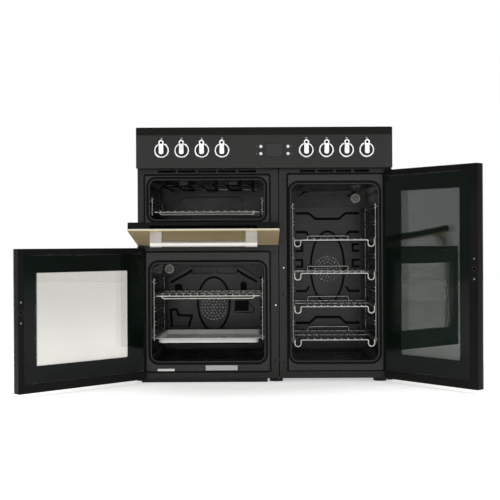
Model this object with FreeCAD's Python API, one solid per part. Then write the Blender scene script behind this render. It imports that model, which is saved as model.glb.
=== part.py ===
import FreeCAD, Part
import math
import os

# A range cooker 900 mm wide: a grill over a fan oven on the left, a tall fan oven on the right,
# a ceramic hob on top and one row of controls. Its three doors stand open, as the cooker is shown.
# Frame: X to the right, -Y to the front, +Z up; the origin is on the floor, under the body's centre.

V = FreeCAD.Vector

# ---- fits -------------------------------------------------------------------------------------
SEAT = 0.3  # gap between a piece and the piece that carries it
RUN = 0.05  # radial clearance of a pin or shaft that turns in its hole
LOOSE = 1.0  # radial clearance of a hole that something only passes through

# ---- body -------------------------------------------------------------------------------------
WIDTH = 900.0
HEIGHT = 900.0  # floor to the top of the hob glass
BODY_DEPTH = 560.0  # front frame to the back of the back panel
FRONT = -BODY_DEPTH / 2
BACK = BODY_DEPTH / 2
SHEET = 1.5
FRAME_SHEET = 2.0
GROUND_CLEARANCE = 13.5  # floor to the underside of the base tray
SKIN_FLANGE = 10.0
TRAY_UPSTAND = 25.0
SKIN_INSIDE = WIDTH / 2 - SHEET - SEAT  # half the width left between the side panels
LEFT_SIDE = -WIDTH / 2
RIGHT_SIDE = WIDTH / 2
SEAM_X = 50.4  # where the left and the right unit meet
SEAM_GAP = 3.0
FRAME_BOTTOM = GROUND_CLEARANCE

# ---- hob --------------------------------------------------------------------------------------
HOB_BAND = 26.0
HOB_NOSE = 47.0  # how far the hob reaches out in front of the front frame
HOB_WALL = 2.0
HOB_RIM = 14.0
HOB_LEDGE = 12.0
HOB_GLASS = 4.0
HOB_CORNER = 10.0
HEATER_HEIGHT = 18.0
HEATER_WALL = 4.0
HEATER_FLOOR = 5.0
RIBBON = 2.0
RIBBON_RINGS = 4
LARGE_ZONE = 90.0  # radii
SMALL_ZONE = 72.0
MIDDLE_ZONE = 105.0
ZONE_SIDE = WIDTH / 2 - 150.0
FRONT_ZONES = FRONT + 130.0
MIDDLE_ZONES = BACK - 298.0
REAR_ZONES = BACK - 160.0
# X, Y, radius
ZONES = [(-ZONE_SIDE, FRONT_ZONES, LARGE_ZONE), (-ZONE_SIDE, REAR_ZONES, SMALL_ZONE),
         (0, MIDDLE_ZONES, MIDDLE_ZONE),
         (ZONE_SIDE, FRONT_ZONES, SMALL_ZONE), (ZONE_SIDE, REAR_ZONES, LARGE_ZONE)]
HOB_UNDERSIDE = HEIGHT - HOB_BAND

# ---- control fascia ---------------------------------------------------------------------------
FASCIA_REACH = 45.0  # front of the fascia in front of the front frame
FASCIA_HEIGHT = 117.0
FASCIA_BOTTOM = HOB_UNDERSIDE - FASCIA_HEIGHT
FASCIA_SIDE_INSET = 1.0
FASCIA_TONGUE = 20.0
FASCIA_PLANE = FRONT - FASCIA_REACH
CONTROL_LEVEL = HOB_UNDERSIDE - 55.0
KNOB_FIRST = 147.5  # from the middle of the fascia to the nearest knob
KNOB_PITCH = 70.5
KNOBS_PER_SIDE = 4
BEZEL_OUTER = 26.5
BEZEL_INNER = 20.0
BEZEL_HEIGHT = 4.5
BEZEL_EDGE = 1.5
KNOB_STANDOFF = 0.8
KNOB_DISC_HEIGHT = 5.0
KNOB_REACH = 36.5  # pointer tip above the knob's axis
KNOB_TAIL = 15.0
GRIP_WIDTH = 17.0
GRIP_HEAD = 19.6
GRIP_HEAD_LEVEL = 25.5
GRIP_TIP = 3.0
GRIP_HEIGHT = 18.0
GRIP_EDGE = 1.2
EYE_RADIUS = 3.6
EYE_DEPTH = 3.0
SHAFT_RADIUS = 3.0
SWITCH_WIDTH = 42.0
SWITCH_HEIGHT = 38.0
SWITCH_DEPTH = 30.0
CLOCK_X = 36.0
CLOCK_WIDTH = 60.0
CLOCK_HEIGHT = 47.0
CLOCK_PROUD = 0.6
CLOCK_BOARD_GAP = 5.2
CLOCK_BOARD_DEPTH = 20.0
CLOCK_BOARD_MARGIN = 30.0
BUTTON_OFFSET = 47.5
BUTTON_SPREAD = 12.5
BUTTON_RADIUS = 5.5
BUTTON_PROUD = 4.0
BUTTON_FLANGE = 1.2

# ---- heights of the doors ---------------------------------------------------------------------
DOOR_BOTTOM = FRAME_BOTTOM + 1.1
DOOR_TOP = FASCIA_BOTTOM - 7.9
GRILL_DOOR_HEIGHT = 262.6
GRILL_DOOR_BOTTOM = DOOR_TOP - GRILL_DOOR_HEIGHT
MAIN_DOOR_TOP = GRILL_DOOR_BOTTOM - 8.5

# ---- cooking spaces ---------------------------------------------------------------------------
CAVITY_DEPTH = 430.0  # front frame to the inside of the back wall
COVER_DEPTH = 30.0
COVER_SET = CAVITY_DEPTH - COVER_DEPTH  # front frame to the face of the fan cover
FLANGE_SET = 1.0  # the cavity's visible flange lies this far behind the front frame
GROOVE = 4.0  # dark groove between front frame and cavity flange
LIP_DEPTH = 2.7
OVERLAP = 4.0  # cavity flange behind the front frame
SEAL_OFFSET = 4.0
SEAL_WIDTH = 8.0
SEAL_PROUD = 4.4
WOOL = 18.0
WOOL_START = 12.0

GRILL_SPACE_HEIGHT = 139.0
SILL = FRAME_BOTTOM + 61.5  # floor level of the two ovens
GRILL_ROOF = FASCIA_BOTTOM - 39.0
MAIN_ROOF = MAIN_DOOR_TOP - 56.0
TALL_ROOF = FASCIA_BOTTOM - 55.0

# each space: its opening, corner radius and the window in the front frame round it
GRILL = {"x": (LEFT_SIDE + 43.0, SEAM_X - 52.4), "z": (GRILL_ROOF - GRILL_SPACE_HEIGHT, GRILL_ROOF), "r": 20.0,
         "wx": (LEFT_SIDE + 21.0, SEAM_X - 27.9), "wz": (GRILL_ROOF - GRILL_SPACE_HEIGHT - 23.0, GRILL_ROOF + 22.0)}
MAIN = {"x": (LEFT_SIDE + 48.0, SEAM_X - 52.4), "z": (SILL, MAIN_ROOF), "r": 24.0,
        "wx": (LEFT_SIDE + 25.0, SEAM_X - 24.4), "wz": (SILL - 41.0, MAIN_ROOF + 45.0)}
TALL = {"x": (SEAM_X + 44.1, RIGHT_SIDE - 47.5), "z": (SILL, TALL_ROOF), "r": 25.0,
        "wx": (SEAM_X + 24.6, RIGHT_SIDE - 24.0), "wz": (SILL - 38.0, TALL_ROOF + 40.0)}
SPACES = [GRILL, MAIN, TALL]
WINDOW_CORNER = 9.0

VENT_LEVEL = FASCIA_BOTTOM - 8.5
VENT_HEIGHT = 6.0
LEFT_VENTS = {"count": 5, "pitch": 71.5, "length": 63.0, "centre": sum(GRILL["wx"]) / 2}
RIGHT_VENTS = {"count": 4, "pitch": 64.0, "length": 54.0, "centre": sum(TALL["wx"]) / 2 - 1.0}
FRAME_HOLE = 2.6
LEFT_PILLAR = SEAM_X - 16.4  # X of the small holes beside the seam
RIGHT_PILLAR = SEAM_X + 14.6
LEFT_HOLES = [(LEFT_PILLAR, MAIN_DOOR_TOP - 15.0), (LEFT_SIDE + 8.0, FASCIA_BOTTOM - 44.0), (LEFT_PILLAR, SILL)]
RIGHT_HOLES = [(RIGHT_PILLAR, FASCIA_BOTTOM - 40.0), (RIGHT_PILLAR, SILL + 234.0), (RIGHT_PILLAR, SILL - 5.0)]

# ---- racks, shelves, tray ---------------------------------------------------------------------
RACK_WIRE = 2.0  # radius
RACK_POST = 2.2
RACK_FRONT = 22.0
RACK_BACK = COVER_SET - 22.0
POST_INSET = 6.0
RUNG_INSET = 12.0
RUNG_PAIR = 12.0
RUNG_BEND = 4.0
RACK_STUD = 2.8  # radius
# each ladder: first rung above the floor of its space, last rung below the roof, number of rungs
GRILL_RUNGS = {"above": 21.0, "below": 79.0, "count": 2}
MAIN_RUNGS = {"above": 77.5, "below": 70.7, "count": 5}
TALL_RUNGS = {"above": 68.0, "below": 84.6, "count": 9}
POST_OVERRUN = 6.0
SHELF_WIRE = 2.5  # radius
BRACE_WIRE = 2.1
GRID_WIRE = 1.5
WELD = 0.6
WIRE_END = 1.0
SHELF_FRONT = 12.0
SHELF_BACK = COVER_SET - 28.0
GRID_PITCH = 24.0
FRONT_DROP = 9.0
SHELF_CORNER = 10.0
HOOK_WIDTH = 22.0
HOOK_DROP = 23.0
HOOK_BEND = 10.0
HOOK_SHOULDER = 5.0
STOP_HEIGHT = 17.0
STOP_HALF = 80.0
TRAY_DEPTH = 16.0
TRAY_SHEET = 1.2
TRAY_RIM = 12.0
TRAY_CORNER = 18.0
MAIN_SHELF_LEVEL = 3
TALL_SHELF_LEVELS = (0, 2, 4, 6)

# ---- fans and elements ------------------------------------------------------------------------
MAIN_FAN = (sum(MAIN["x"]) / 2, sum(MAIN["z"]) / 2 - 7.9)
TALL_FAN = (sum(TALL["x"]) / 2, sum(TALL["z"]) / 2 + 3.5)
COVER_HOLE = 3.0
COVER_RINGS = 4
COVER_RING_PITCH = 12.0
BEAD = 1.8
OVAL_LINE = 4.0
FAN_RADIUS = 55.0
FAN_HUB = 9.0
FAN_BLADES = 12
FAN_SET = 8.0
FAN_DEPTH = 15.0
RING_RADIUS = 75.0
ELEMENT = 3.5  # radius of a sheathed element
RING_SET = 12.0
LEG_SPREAD = 16.0
MOTOR_RADIUS = 30.0
MOTOR_LENGTH = 36.0
MAIN_LAMP = (MAIN["x"][0] + 24.0, MAIN_ROOF - 29.0)
TALL_LAMP = (TALL["x"][1] - 40.5, TALL_ROOF - 32.4)
LAMP_RADIUS = 17.5
LAMP_PROUD = 14.0
LAMP_NECK = 12.0
LAMP_LENGTH = 36.0
GRILL_ELEMENT_LEVEL = GRILL_ROOF - 15.0
GRILL_ELEMENT_RUNS = 8
GRILL_ELEMENT_INSET = 42.0
GRILL_ELEMENT_FRONT = 60.0
GRILL_ELEMENT_BACK = CAVITY_DEPTH - 50.0
HANGER_SPREAD = 180.0
HANGER_WIDTH = 30.0
HANGER_DEPTH = 12.0
HANGER_SET = 90.0
ROOF_ELEMENT_LEVEL = TALL_ROOF - 22.0
ROOF_ELEMENT_LEFT = 105.0  # from the middle of the oven
ROOF_ELEMENT_RIGHT = 85.0
ROOF_ELEMENT_FRONT = 110.0
ROOF_ELEMENT_BEND = 24.0
ELEMENT_TAIL = 12.0  # length behind the wall

# ---- doors ------------------------------------------------------------------------------------
DOOR_GAP = 5.0  # closed door to front frame
DOOR_FRAME = 22.0
DOOR_GLASS = 6.0
PANE = 4.0
DOOR_WALL = 2.0
CHANNEL = 13.0
DOOR_EDGE = 1.0  # door's outer edge inside the overall width
WINDOW_REVEAL = 14.0
PIVOT_INSET = 9.0
PIN_RADIUS = 3.0
PIN_LENGTH = 18.0
BOSS = 9.0
HINGE_PLATE = 3.0
HINGE_REACH = 28.0
TONGUE_REACH = 9.0
MAIN_OPEN = 136.2
TALL_OPEN = 131.6
GRILL_OPEN = 79.4
GRILL_PIVOT_SET = 23.0  # grill pivot in front of the front frame
GRILL_PIVOT_RISE = 12.3  # above the door's bottom edge
GRILL_PIN = 2.0
TAB = 3.0
TAB_HALF = 3.5
TAB_INSET = 14.0
TAB_ROOM = 1.5
MAIN_CATCH = (SEAM_X - 11.9, DOOR_BOTTOM + 259.8)
TALL_CATCH = (SEAM_X + 16.6, DOOR_BOTTOM + 391.9)
CATCH_REACH = 12.0
CATCH_RADIUS = 4.0
CATCH_HOLE = 5.3
CATCH_SHANK = 2.0
CATCH_HEAD = 3.5
HANDLE_DROP = 24.0  # bar's axis below the door's top edge
HANDLE_REACH = 39.0  # bar's axis in front of the glass
BAR_RADIUS = 11.0
HANDLE_INSET = 73.0
BRACKET_WIDTH = 38.0
BRACKET_RADIUS = 12.5
BRACKET_FOOT_UP = 10.0
BRACKET_FOOT_DOWN = 24.0
HANDLE_STUD = 4.0
STUD_LENGTH = 5.0
VENT_SLOT = 11.0  # depth of the notch in the top rail, from the glass

# ---- base and back ----------------------------------------------------------------------------
FOOT_RADIUS = 24.0
FOOT_PAD = 8.0
FOOT_STEM = 5.0
FOOT_COLLAR = 12.0
FOOT_NUT = 9.0
FOOT_NUT_HEIGHT = 8.0
STEM_TOP = 40.0
FEET_X = (LEFT_SIDE + 50.0, SEAM_X - 10.4, RIGHT_SIDE - 38.0)
FOOT_SETBACK = 40.0
PLINTH_X = (LEFT_SIDE + 12.0, SEAM_X - 41.9)
PLINTH_SETBACK = 5.0
PLINTH_SHEET = 2.0
TERMINAL_X = RIGHT_SIDE - 120.0
TERMINAL_Z = 130.0
TERMINAL_WIDTH = 100.0
TERMINAL_HEIGHT = 80.0
TERMINAL_DEPTH = 24.0
GLAND_OUTER = 11.0
GLAND_BORE = 7.0
GLAND_LENGTH = 20.0
BRACKET_HOLES_X = LEFT_SIDE + 150.0
BRACKET_HOLES_Z = 60.0
BRACKET_HOLE_SPACING = 60.0
BRACKET_HOLE = 2.5
LOUVRES = 10
LOUVRE_PITCH = 14.0
LOUVRE_LENGTH = 220.0
LOUVRE_HEIGHT = 4.0


# ---- shapes -----------------------------------------------------------------------------------
def polygon(points):
    corners = [V(a, b, 0) for a, b in points]
    return Part.makePolygon(corners + corners[:1])


def circle(a, b, radius):
    return Part.Wire([Part.Circle(V(a, b, 0), V(0, 0, 1), radius).toShape()])


def rounded(a0, a1, b0, b1, radius=0.0):
    """A rectangle's outline with rounded corners."""
    if radius <= 0:
        return polygon([(a0, b0), (a1, b0), (a1, b1), (a0, b1)])
    edges = []
    corners = [(a1 - radius, b0 + radius, -90), (a1 - radius, b1 - radius, 0)]
    corners += [(a0 + radius, b1 - radius, 90), (a0 + radius, b0 + radius, 180)]
    ends = []
    for a, b, start in corners:
        at = [math.radians(start + step) for step in (0, 45, 90)]
        points = [V(a + radius * math.cos(t), b + radius * math.sin(t), 0) for t in at]
        ends.append((points[0], points[2]))
        edges.append(Part.Arc(*points).toShape())
    for i in range(4):
        edges.append(Part.LineSegment(ends[i][1], ends[(i + 1) % 4][0]).toShape())
    return Part.Wire(Part.sortEdges(edges)[0])


def oval(a, b, half_width, up, down):
    """An egg outline: half an ellipse above its widest level and another below it."""
    halves = []
    for height, turn in ((up, 0), (down, 180)):
        major, minor = max(height, half_width), min(height, half_width)
        ellipse = Part.Ellipse(V(0, 0, 0), major, minor)
        if height < half_width:
            first, last = (0, math.pi)
        else:
            first, last = (-math.pi / 2, math.pi / 2)
        edge = Part.Arc(ellipse, first, last).toShape()
        if height >= half_width:
            edge.rotate(V(0, 0, 0), V(0, 0, 1), 90)
        edge.rotate(V(0, 0, 0), V(0, 0, 1), turn)
        edge.translate(V(a, b, 0))
        halves.append(edge)
    return Part.Wire(Part.sortEdges(halves)[0])


def prism(axis, outline, holes, low, high):
    """A flat outline (XZ for axis y, XY for axis z, YZ for axis x) pulled from low to high."""
    face = Part.makeFace([outline] + list(holes), "Part::FaceMakerBullseye")
    if axis == "y":
        solid = face.extrude(V(0, 0, low - high))
        solid.rotate(V(0, 0, 0), V(1, 0, 0), 90)
        solid.translate(V(0, low, 0))
    elif axis == "x":
        solid = face.extrude(V(0, 0, high - low))
        solid.rotate(V(0, 0, 0), V(1, 1, 1), 120)
        solid.translate(V(low, 0, 0))
    else:
        solid = face.extrude(V(0, 0, high - low))
        solid.translate(V(0, 0, low))
    return solid


def block(x0, x1, y0, y1, z0, z1):
    return Part.makeBox(x1 - x0, y1 - y0, z1 - z0, V(x0, y0, z0))


def rod_x(x0, x1, y, z, radius):
    return Part.makeCylinder(radius, x1 - x0, V(x0, y, z), V(1, 0, 0))


def rod_y(x, y0, y1, z, radius):
    return Part.makeCylinder(radius, y1 - y0, V(x, y0, z), V(0, 1, 0))


def rod_z(x, y, z0, z1, radius):
    return Part.makeCylinder(radius, z1 - z0, V(x, y, z0), V(0, 0, 1))


def bent_wire(points, radius, bend):
    """A round wire along straight runs joined by tangent arcs."""
    points = [V(*p) for p in points]
    edges = []
    last = points[0]
    for before, here, after in zip(points, points[1:], points[2:]):
        back = (before - here).normalize()
        ahead = (after - here).normalize()
        half = back.getAngle(ahead) / 2
        setback = bend / math.tan(half)
        start = here + back * setback
        end = here + ahead * setback
        middle = (back + ahead).normalize()
        top = here + middle * (bend / math.sin(half) - bend)
        if (start - last).Length > 1e-6:
            edges.append(Part.LineSegment(last, start).toShape())
        edges.append(Part.Arc(start, top, end).toShape())
        last = end
    if (points[-1] - last).Length > 1e-6:
        edges.append(Part.LineSegment(last, points[-1]).toShape())
    path = Part.Wire(edges)
    profile = Part.Wire([Part.Circle(points[0], points[1] - points[0], radius).toShape()])
    return path.makePipeShell([profile], True, False)


def fuse(shapes):
    first, rest = shapes[0], shapes[1:]
    return first.multiFuse(rest).removeSplitter() if rest else first


def turned(shape, pivot, axis, degrees):
    copy = shape.copy()
    copy.rotate(V(*pivot), V(*axis), degrees)
    return copy


def spread(count, pitch, centre):
    return [centre + (i - (count - 1) / 2) * pitch for i in range(count)]


# ---- body -------------------------------------------------------------------------------------
def side_panels():
    return Part.makeCompound([side_panel(-1), side_panel(1)])


def side_panel(side):
    """A formed side skin with a turned-in flange behind the front frame and one at the back."""
    outer, inner = side * WIDTH / 2, side * (WIDTH / 2 - SHEET)
    edge = side * (WIDTH / 2 - SHEET - SKIN_FLANGE)
    front, back = FRONT, BACK
    flange = FRONT + FRAME_SHEET + LIP_DEPTH + SHEET + SEAT
    x0, x1 = sorted((outer, inner))
    f0, f1 = sorted((inner, edge))
    top = HOB_UNDERSIDE - SEAT
    skin = block(x0, x1, front, back, GROUND_CLEARANCE, top)
    low = GROUND_CLEARANCE + SHEET + TRAY_UPSTAND + SEAT
    turn_in = block(f0, f1, flange, flange + SHEET, low, top)
    back_turn = block(f0, f1, back - 2 * SHEET - SEAT, back - SHEET - SEAT, low, top)
    return fuse([skin, turn_in, back_turn])


def back_panel():
    half = SKIN_INSIDE
    low, high = GROUND_CLEARANCE + SHEET + SEAT, HOB_UNDERSIDE - SEAT
    holes = []
    for z in spread(LOUVRES, LOUVRE_PITCH, high - LOUVRES * LOUVRE_PITCH):
        for x in (-WIDTH / 4, WIDTH / 4):
            x0, x1 = x - LOUVRE_LENGTH / 2, x + LOUVRE_LENGTH / 2
            holes.append(rounded(x0, x1, z - LOUVRE_HEIGHT / 2, z + LOUVRE_HEIGHT / 2, LOUVRE_HEIGHT / 2.1))
    for x in spread(2, BRACKET_HOLE_SPACING, BRACKET_HOLES_X):
        holes.append(circle(x, BRACKET_HOLES_Z, BRACKET_HOLE))
    return prism("y", rounded(-half, half, low, high), holes, BACK - SHEET, BACK)


def base_tray():
    half = SKIN_INSIDE
    low, top = GROUND_CLEARANCE, GROUND_CLEARANCE + SHEET
    y0, y1 = FRONT + FRAME_SHEET + SEAT, BACK - SHEET - SEAT
    holes = [circle(x, y, FOOT_STEM + LOOSE) for x, y in foot_places()]
    floor = prism("z", rounded(-half, half, y0, y1), holes, low, top)
    walls = []
    for side in (-1, 1):
        x0, x1 = sorted((side * half, side * (half - SHEET)))
        walls.append(block(x0, x1, FRONT + TONGUE_REACH, y1, low, low + TRAY_UPSTAND))
    return fuse([floor] + walls)


def foot_places():
    return [(x, y) for x in FEET_X for y in (FRONT + FOOT_SETBACK, BACK - FOOT_SETBACK)]


def levelling_feet():
    """Screw feet: a pad on the floor, a collar under the base tray and a nut above it."""
    feet = []
    tray_top = GROUND_CLEARANCE + SHEET
    for x, y in foot_places():
        pad = rod_z(x, y, 0, FOOT_PAD, FOOT_RADIUS)
        collar = rod_z(x, y, FOOT_PAD, GROUND_CLEARANCE - SEAT, FOOT_COLLAR)
        stem = rod_z(x, y, FOOT_PAD, STEM_TOP, FOOT_STEM)
        corners = [math.radians(60 * i) for i in range(6)]
        nut_line = polygon([(x + FOOT_NUT * math.cos(t), y + FOOT_NUT * math.sin(t)) for t in corners])
        nut = prism("z", nut_line, [], tray_top + SEAT, tray_top + SEAT + FOOT_NUT_HEIGHT)
        feet.append(fuse([pad, collar, stem, nut]))
    return Part.makeCompound(feet)


def plinth():
    """A ring of sheet on the floor round the left unit's feet."""
    x0, x1 = PLINTH_X
    y0, y1 = FRONT + PLINTH_SETBACK, BACK - PLINTH_SETBACK
    inner = rounded(x0 + PLINTH_SHEET, x1 - PLINTH_SHEET, y0 + PLINTH_SHEET, y1 - PLINTH_SHEET)
    return prism("z", rounded(x0, x1, y0, y1), [inner], 0, GROUND_CLEARANCE - SEAT)


def vent_outlines(vents):
    lines = []
    for x in spread(vents["count"], vents["pitch"], vents["centre"]):
        x0, x1 = x - vents["length"] / 2, x + vents["length"] / 2
        z0, z1 = VENT_LEVEL - VENT_HEIGHT / 2, VENT_LEVEL + VENT_HEIGHT / 2
        lines.append(rounded(x0, x1, z0, z1, VENT_HEIGHT / 2.1))
    return lines


def front_frame(x0, x1, spaces, vents, holes):
    """The enamelled frame that the doors close on, with a lip turned in round each window."""
    z0, z1 = FRAME_BOTTOM, FASCIA_BOTTOM - SEAT
    cuts = vent_outlines(vents) + [circle(x, z, FRAME_HOLE) for x, z in holes]
    windows = [rounded(*s["wx"], *s["wz"], WINDOW_CORNER) for s in spaces]
    plate = prism("y", rounded(x0, x1, z0, z1), cuts + windows, FRONT, FRONT + FRAME_SHEET)
    lips = []
    for s in spaces:
        (a0, a1), (b0, b1), t = s["wx"], s["wz"], FRAME_SHEET
        outer = rounded(a0 - t, a1 + t, b0 - t, b1 + t, WINDOW_CORNER + t)
        inner = rounded(a0, a1, b0, b1, WINDOW_CORNER)
        lips.append(prism("y", outer, [inner], FRONT, FRONT + FRAME_SHEET + LIP_DEPTH - SEAT))
    return fuse([plate] + lips)


def left_front_frame():
    frame = front_frame(-SKIN_INSIDE, LEFT_MEET, [GRILL, MAIN], LEFT_VENTS, LEFT_HOLES + [MAIN_CATCH])
    return frame.cut([hinge_slot(-1, MAIN_DOOR_TOP)] + [tab_slot(x) for x in tab_places()])


def right_front_frame():
    frame = front_frame(RIGHT_MEET, SKIN_INSIDE, [TALL], RIGHT_VENTS, RIGHT_HOLES + [TALL_CATCH])
    return frame.cut(hinge_slot(1, DOOR_TOP))


# ---- hob --------------------------------------------------------------------------------------
def hob_frame():
    """A shallow steel box: a rim round the glass, a ledge under it and a floor for the heaters."""
    half = WIDTH / 2
    y0, y1 = FRONT - HOB_NOSE, BACK
    body = prism("z", rounded(-half, half, y0, y1, HOB_CORNER), [], HOB_UNDERSIDE, HEIGHT)
    top_edges = [e for e in body.Edges if all(abs(v.Z - HEIGHT) < 1e-6 for v in e.Vertexes)]
    body = body.makeFillet(HOB_WALL * 1.5, top_edges)
    seat_level = HEIGHT - HOB_GLASS - SEAT
    t = HOB_WALL
    inside = prism("z", rounded(-half + t, half - t, y0 + t, y1 - t, HOB_CORNER - t), [],
                   HOB_UNDERSIDE + SHEET, seat_level - t)
    w = HOB_RIM + HOB_LEDGE
    port = prism("z", rounded(-half + w, half - w, y0 + w, y1 - w, HOB_CORNER), [],
                 seat_level - t - 1, seat_level + 1)
    r = HOB_RIM - SEAT
    seat = prism("z", rounded(-half + r, half - r, y0 + r, y1 - r, HOB_CORNER), [], seat_level, HEIGHT + 1)
    return body.cut(inside).cut(port).cut(seat)


def hob_glass():
    half = WIDTH / 2 - HOB_RIM
    y0, y1 = FRONT - HOB_NOSE + HOB_RIM, BACK - HOB_RIM
    return prism("z", rounded(-half, half, y0, y1, HOB_CORNER), [], HEIGHT - HOB_GLASS, HEIGHT)


def radiant_heaters():
    """Insulated pans under the glass, each with rings of heating ribbon."""
    heaters = []
    base = HOB_UNDERSIDE + SHEET + SEAT
    for x, y, radius in ZONES:
        pan = rod_z(x, y, base, base + HEATER_HEIGHT, radius)
        pan = pan.cut(rod_z(x, y, base + HEATER_FLOOR, base + HEATER_HEIGHT + 1, radius - HEATER_WALL))
        step = (radius - HEATER_WALL) / (RIBBON_RINGS + 1)
        rings = []
        for i in range(1, RIBBON_RINGS + 1):
            outer = circle(x, y, i * step + RIBBON / 2)
            inner = circle(x, y, i * step - RIBBON / 2)
            rings.append(prism("z", outer, [inner], base + HEATER_FLOOR - 1, base + HEATER_HEIGHT / 2))
        heaters.append(fuse([pan] + rings))
    return Part.makeCompound(heaters)


# ---- controls ---------------------------------------------------------------------------------
def knob_places():
    out = [KNOB_FIRST + i * KNOB_PITCH for i in range(KNOBS_PER_SIDE)]
    return [-x for x in reversed(out)] + out


def button_places():
    return [(CLOCK_X + sx * BUTTON_OFFSET, CONTROL_LEVEL + sz * BUTTON_SPREAD) for sx in (-1, 1) for sz in (1, -1)]


def control_fascia():
    half = WIDTH / 2 - FASCIA_SIDE_INSET
    low, high = FASCIA_BOTTOM, HOB_UNDERSIDE - SEAT
    plane, back = FASCIA_PLANE, FRONT - SEAT
    box = block(-half, half, plane, back, low, high)
    box = box.cut(block(-half + SHEET, half - SHEET, plane + SHEET, back + 1, low + SHEET, high - SHEET))
    reach = SKIN_INSIDE - SKIN_FLANGE - SEAT
    tongue = block(-reach, reach, back - SHEET, back + FASCIA_TONGUE, low, low + SHEET)
    cuts = [rod_y(x, plane - 1, plane + SHEET + 1, CONTROL_LEVEL, SHAFT_RADIUS + LOOSE) for x in knob_places()]
    cuts += [rod_y(x, plane - 1, plane + SHEET + 1, z, BUTTON_RADIUS + SEAT) for x, z in button_places()]
    w, h = CLOCK_WIDTH / 2 + SEAT, CLOCK_HEIGHT / 2 + SEAT
    cuts.append(block(CLOCK_X - w, CLOCK_X + w, plane - 1, plane + SHEET + 1, CONTROL_LEVEL - h, CONTROL_LEVEL + h))
    return fuse([box, tongue]).cut(cuts)


def knob_bezels():
    """Bright rings round the knobs."""
    rings = []
    y0 = FASCIA_PLANE - SEAT
    edge, tall = BEZEL_EDGE, BEZEL_HEIGHT
    side = [(BEZEL_INNER, 0), (BEZEL_INNER, edge - tall), (BEZEL_INNER + edge, -tall)]
    side += [(BEZEL_OUTER - edge, -tall), (BEZEL_OUTER, edge - tall), (BEZEL_OUTER, 0)]
    face = Part.Face(polygon(side))
    ring = face.revolve(V(0, 0, 0), V(0, 1, 0), 360)
    for x in knob_places():
        copy = ring.copy()
        copy.translate(V(x, y0, CONTROL_LEVEL))
        rings.append(copy)
    return Part.makeCompound(rings)


def knob(x):
    """A black disc with a raised pointer grip; the pointer has a dark eye near its tip."""
    back = FASCIA_PLANE - KNOB_STANDOFF
    grip_back = FASCIA_PLANE - SEAT - BEZEL_HEIGHT - SEAT
    disc = rod_y(0, back - KNOB_DISC_HEIGHT, back, 0, BEZEL_INNER - 2 * SEAT)
    w, h, tip = GRIP_WIDTH / 2, GRIP_HEAD / 2, GRIP_TIP / 2
    side = [(w / 2, -KNOB_TAIL), (w, w / 2 - KNOB_TAIL), (w, GRIP_HEAD_LEVEL - h)]
    for degrees in (-20, 0, 20, 40, 55):
        turn = math.radians(degrees)
        side.append((h * math.cos(turn), GRIP_HEAD_LEVEL + h * math.sin(turn)))
    side.append((tip, KNOB_REACH))
    outline = polygon(side + [(-a, b) for a, b in reversed(side)])
    grip = prism("y", outline, [], grip_back - GRIP_HEIGHT, grip_back)
    front = grip_back - GRIP_HEIGHT
    edges = [e for e in grip.Edges if all(abs(v.Y - front) < 1e-6 for v in e.Vertexes)]
    grip = grip.makeFillet(GRIP_EDGE, edges)
    body = fuse([disc, grip])
    eye = rod_y(0, front - 1, front + EYE_DEPTH, GRIP_HEAD_LEVEL, EYE_RADIUS)
    bore = rod_y(0, shaft_end() - 1, back + 1, 0, SHAFT_RADIUS + RUN)
    body = body.cut([eye, bore])
    body.translate(V(x, 0, CONTROL_LEVEL))
    return body


def shaft_end():
    return FASCIA_PLANE - SEAT - BEZEL_HEIGHT - GRIP_HEIGHT / 2


def rotary_switches():
    """A switch behind the fascia for each knob, its shaft reaching into the knob."""
    switches = []
    y0 = FASCIA_PLANE + SHEET + SEAT
    w, h = SWITCH_WIDTH / 2, SWITCH_HEIGHT / 2
    for x in knob_places():
        body = block(x - w, x + w, y0, y0 + SWITCH_DEPTH, CONTROL_LEVEL - h, CONTROL_LEVEL + h)
        shaft = rod_y(x, shaft_end(), y0 + 1, CONTROL_LEVEL, SHAFT_RADIUS)
        switches.append(fuse([body, shaft]))
    return Part.makeCompound(switches)


def clock_display():
    """The clock: a dark lens in the fascia's cut-out and its board behind."""
    w, h = CLOCK_WIDTH / 2, CLOCK_HEIGHT / 2
    y0, y1 = FASCIA_PLANE - CLOCK_PROUD, FASCIA_PLANE + SHEET + CLOCK_BOARD_GAP
    lens = prism("y", rounded(CLOCK_X - w, CLOCK_X + w, CONTROL_LEVEL - h, CONTROL_LEVEL + h, 1.5), [], y0, y1 + 1)
    b = w + CLOCK_BOARD_MARGIN
    board = block(CLOCK_X - b, CLOCK_X + b, y1, y1 + CLOCK_BOARD_DEPTH, CONTROL_LEVEL - h, CONTROL_LEVEL + h)
    return fuse([lens, board])


def clock_button(x, z):
    inside = FASCIA_PLANE + SHEET + SEAT
    stem = rod_y(x, FASCIA_PLANE - BUTTON_PROUD, inside + BUTTON_FLANGE, z, BUTTON_RADIUS)
    front = [e for e in stem.Edges if all(abs(v.Y - FASCIA_PLANE + BUTTON_PROUD) < 1e-6 for v in e.Vertexes)]
    stem = stem.makeFillet(BUTTON_FLANGE, front)
    return fuse([stem, rod_y(x, inside, inside + BUTTON_FLANGE, z, BUTTON_RADIUS + BEZEL_EDGE)])


# ---- cooking spaces ---------------------------------------------------------------------------
def grown(space, by):
    (x0, x1), (z0, z1) = space["x"], space["z"]
    return rounded(x0 - by, x1 + by, z0 - by, z1 + by, space["r"] + by)


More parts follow.
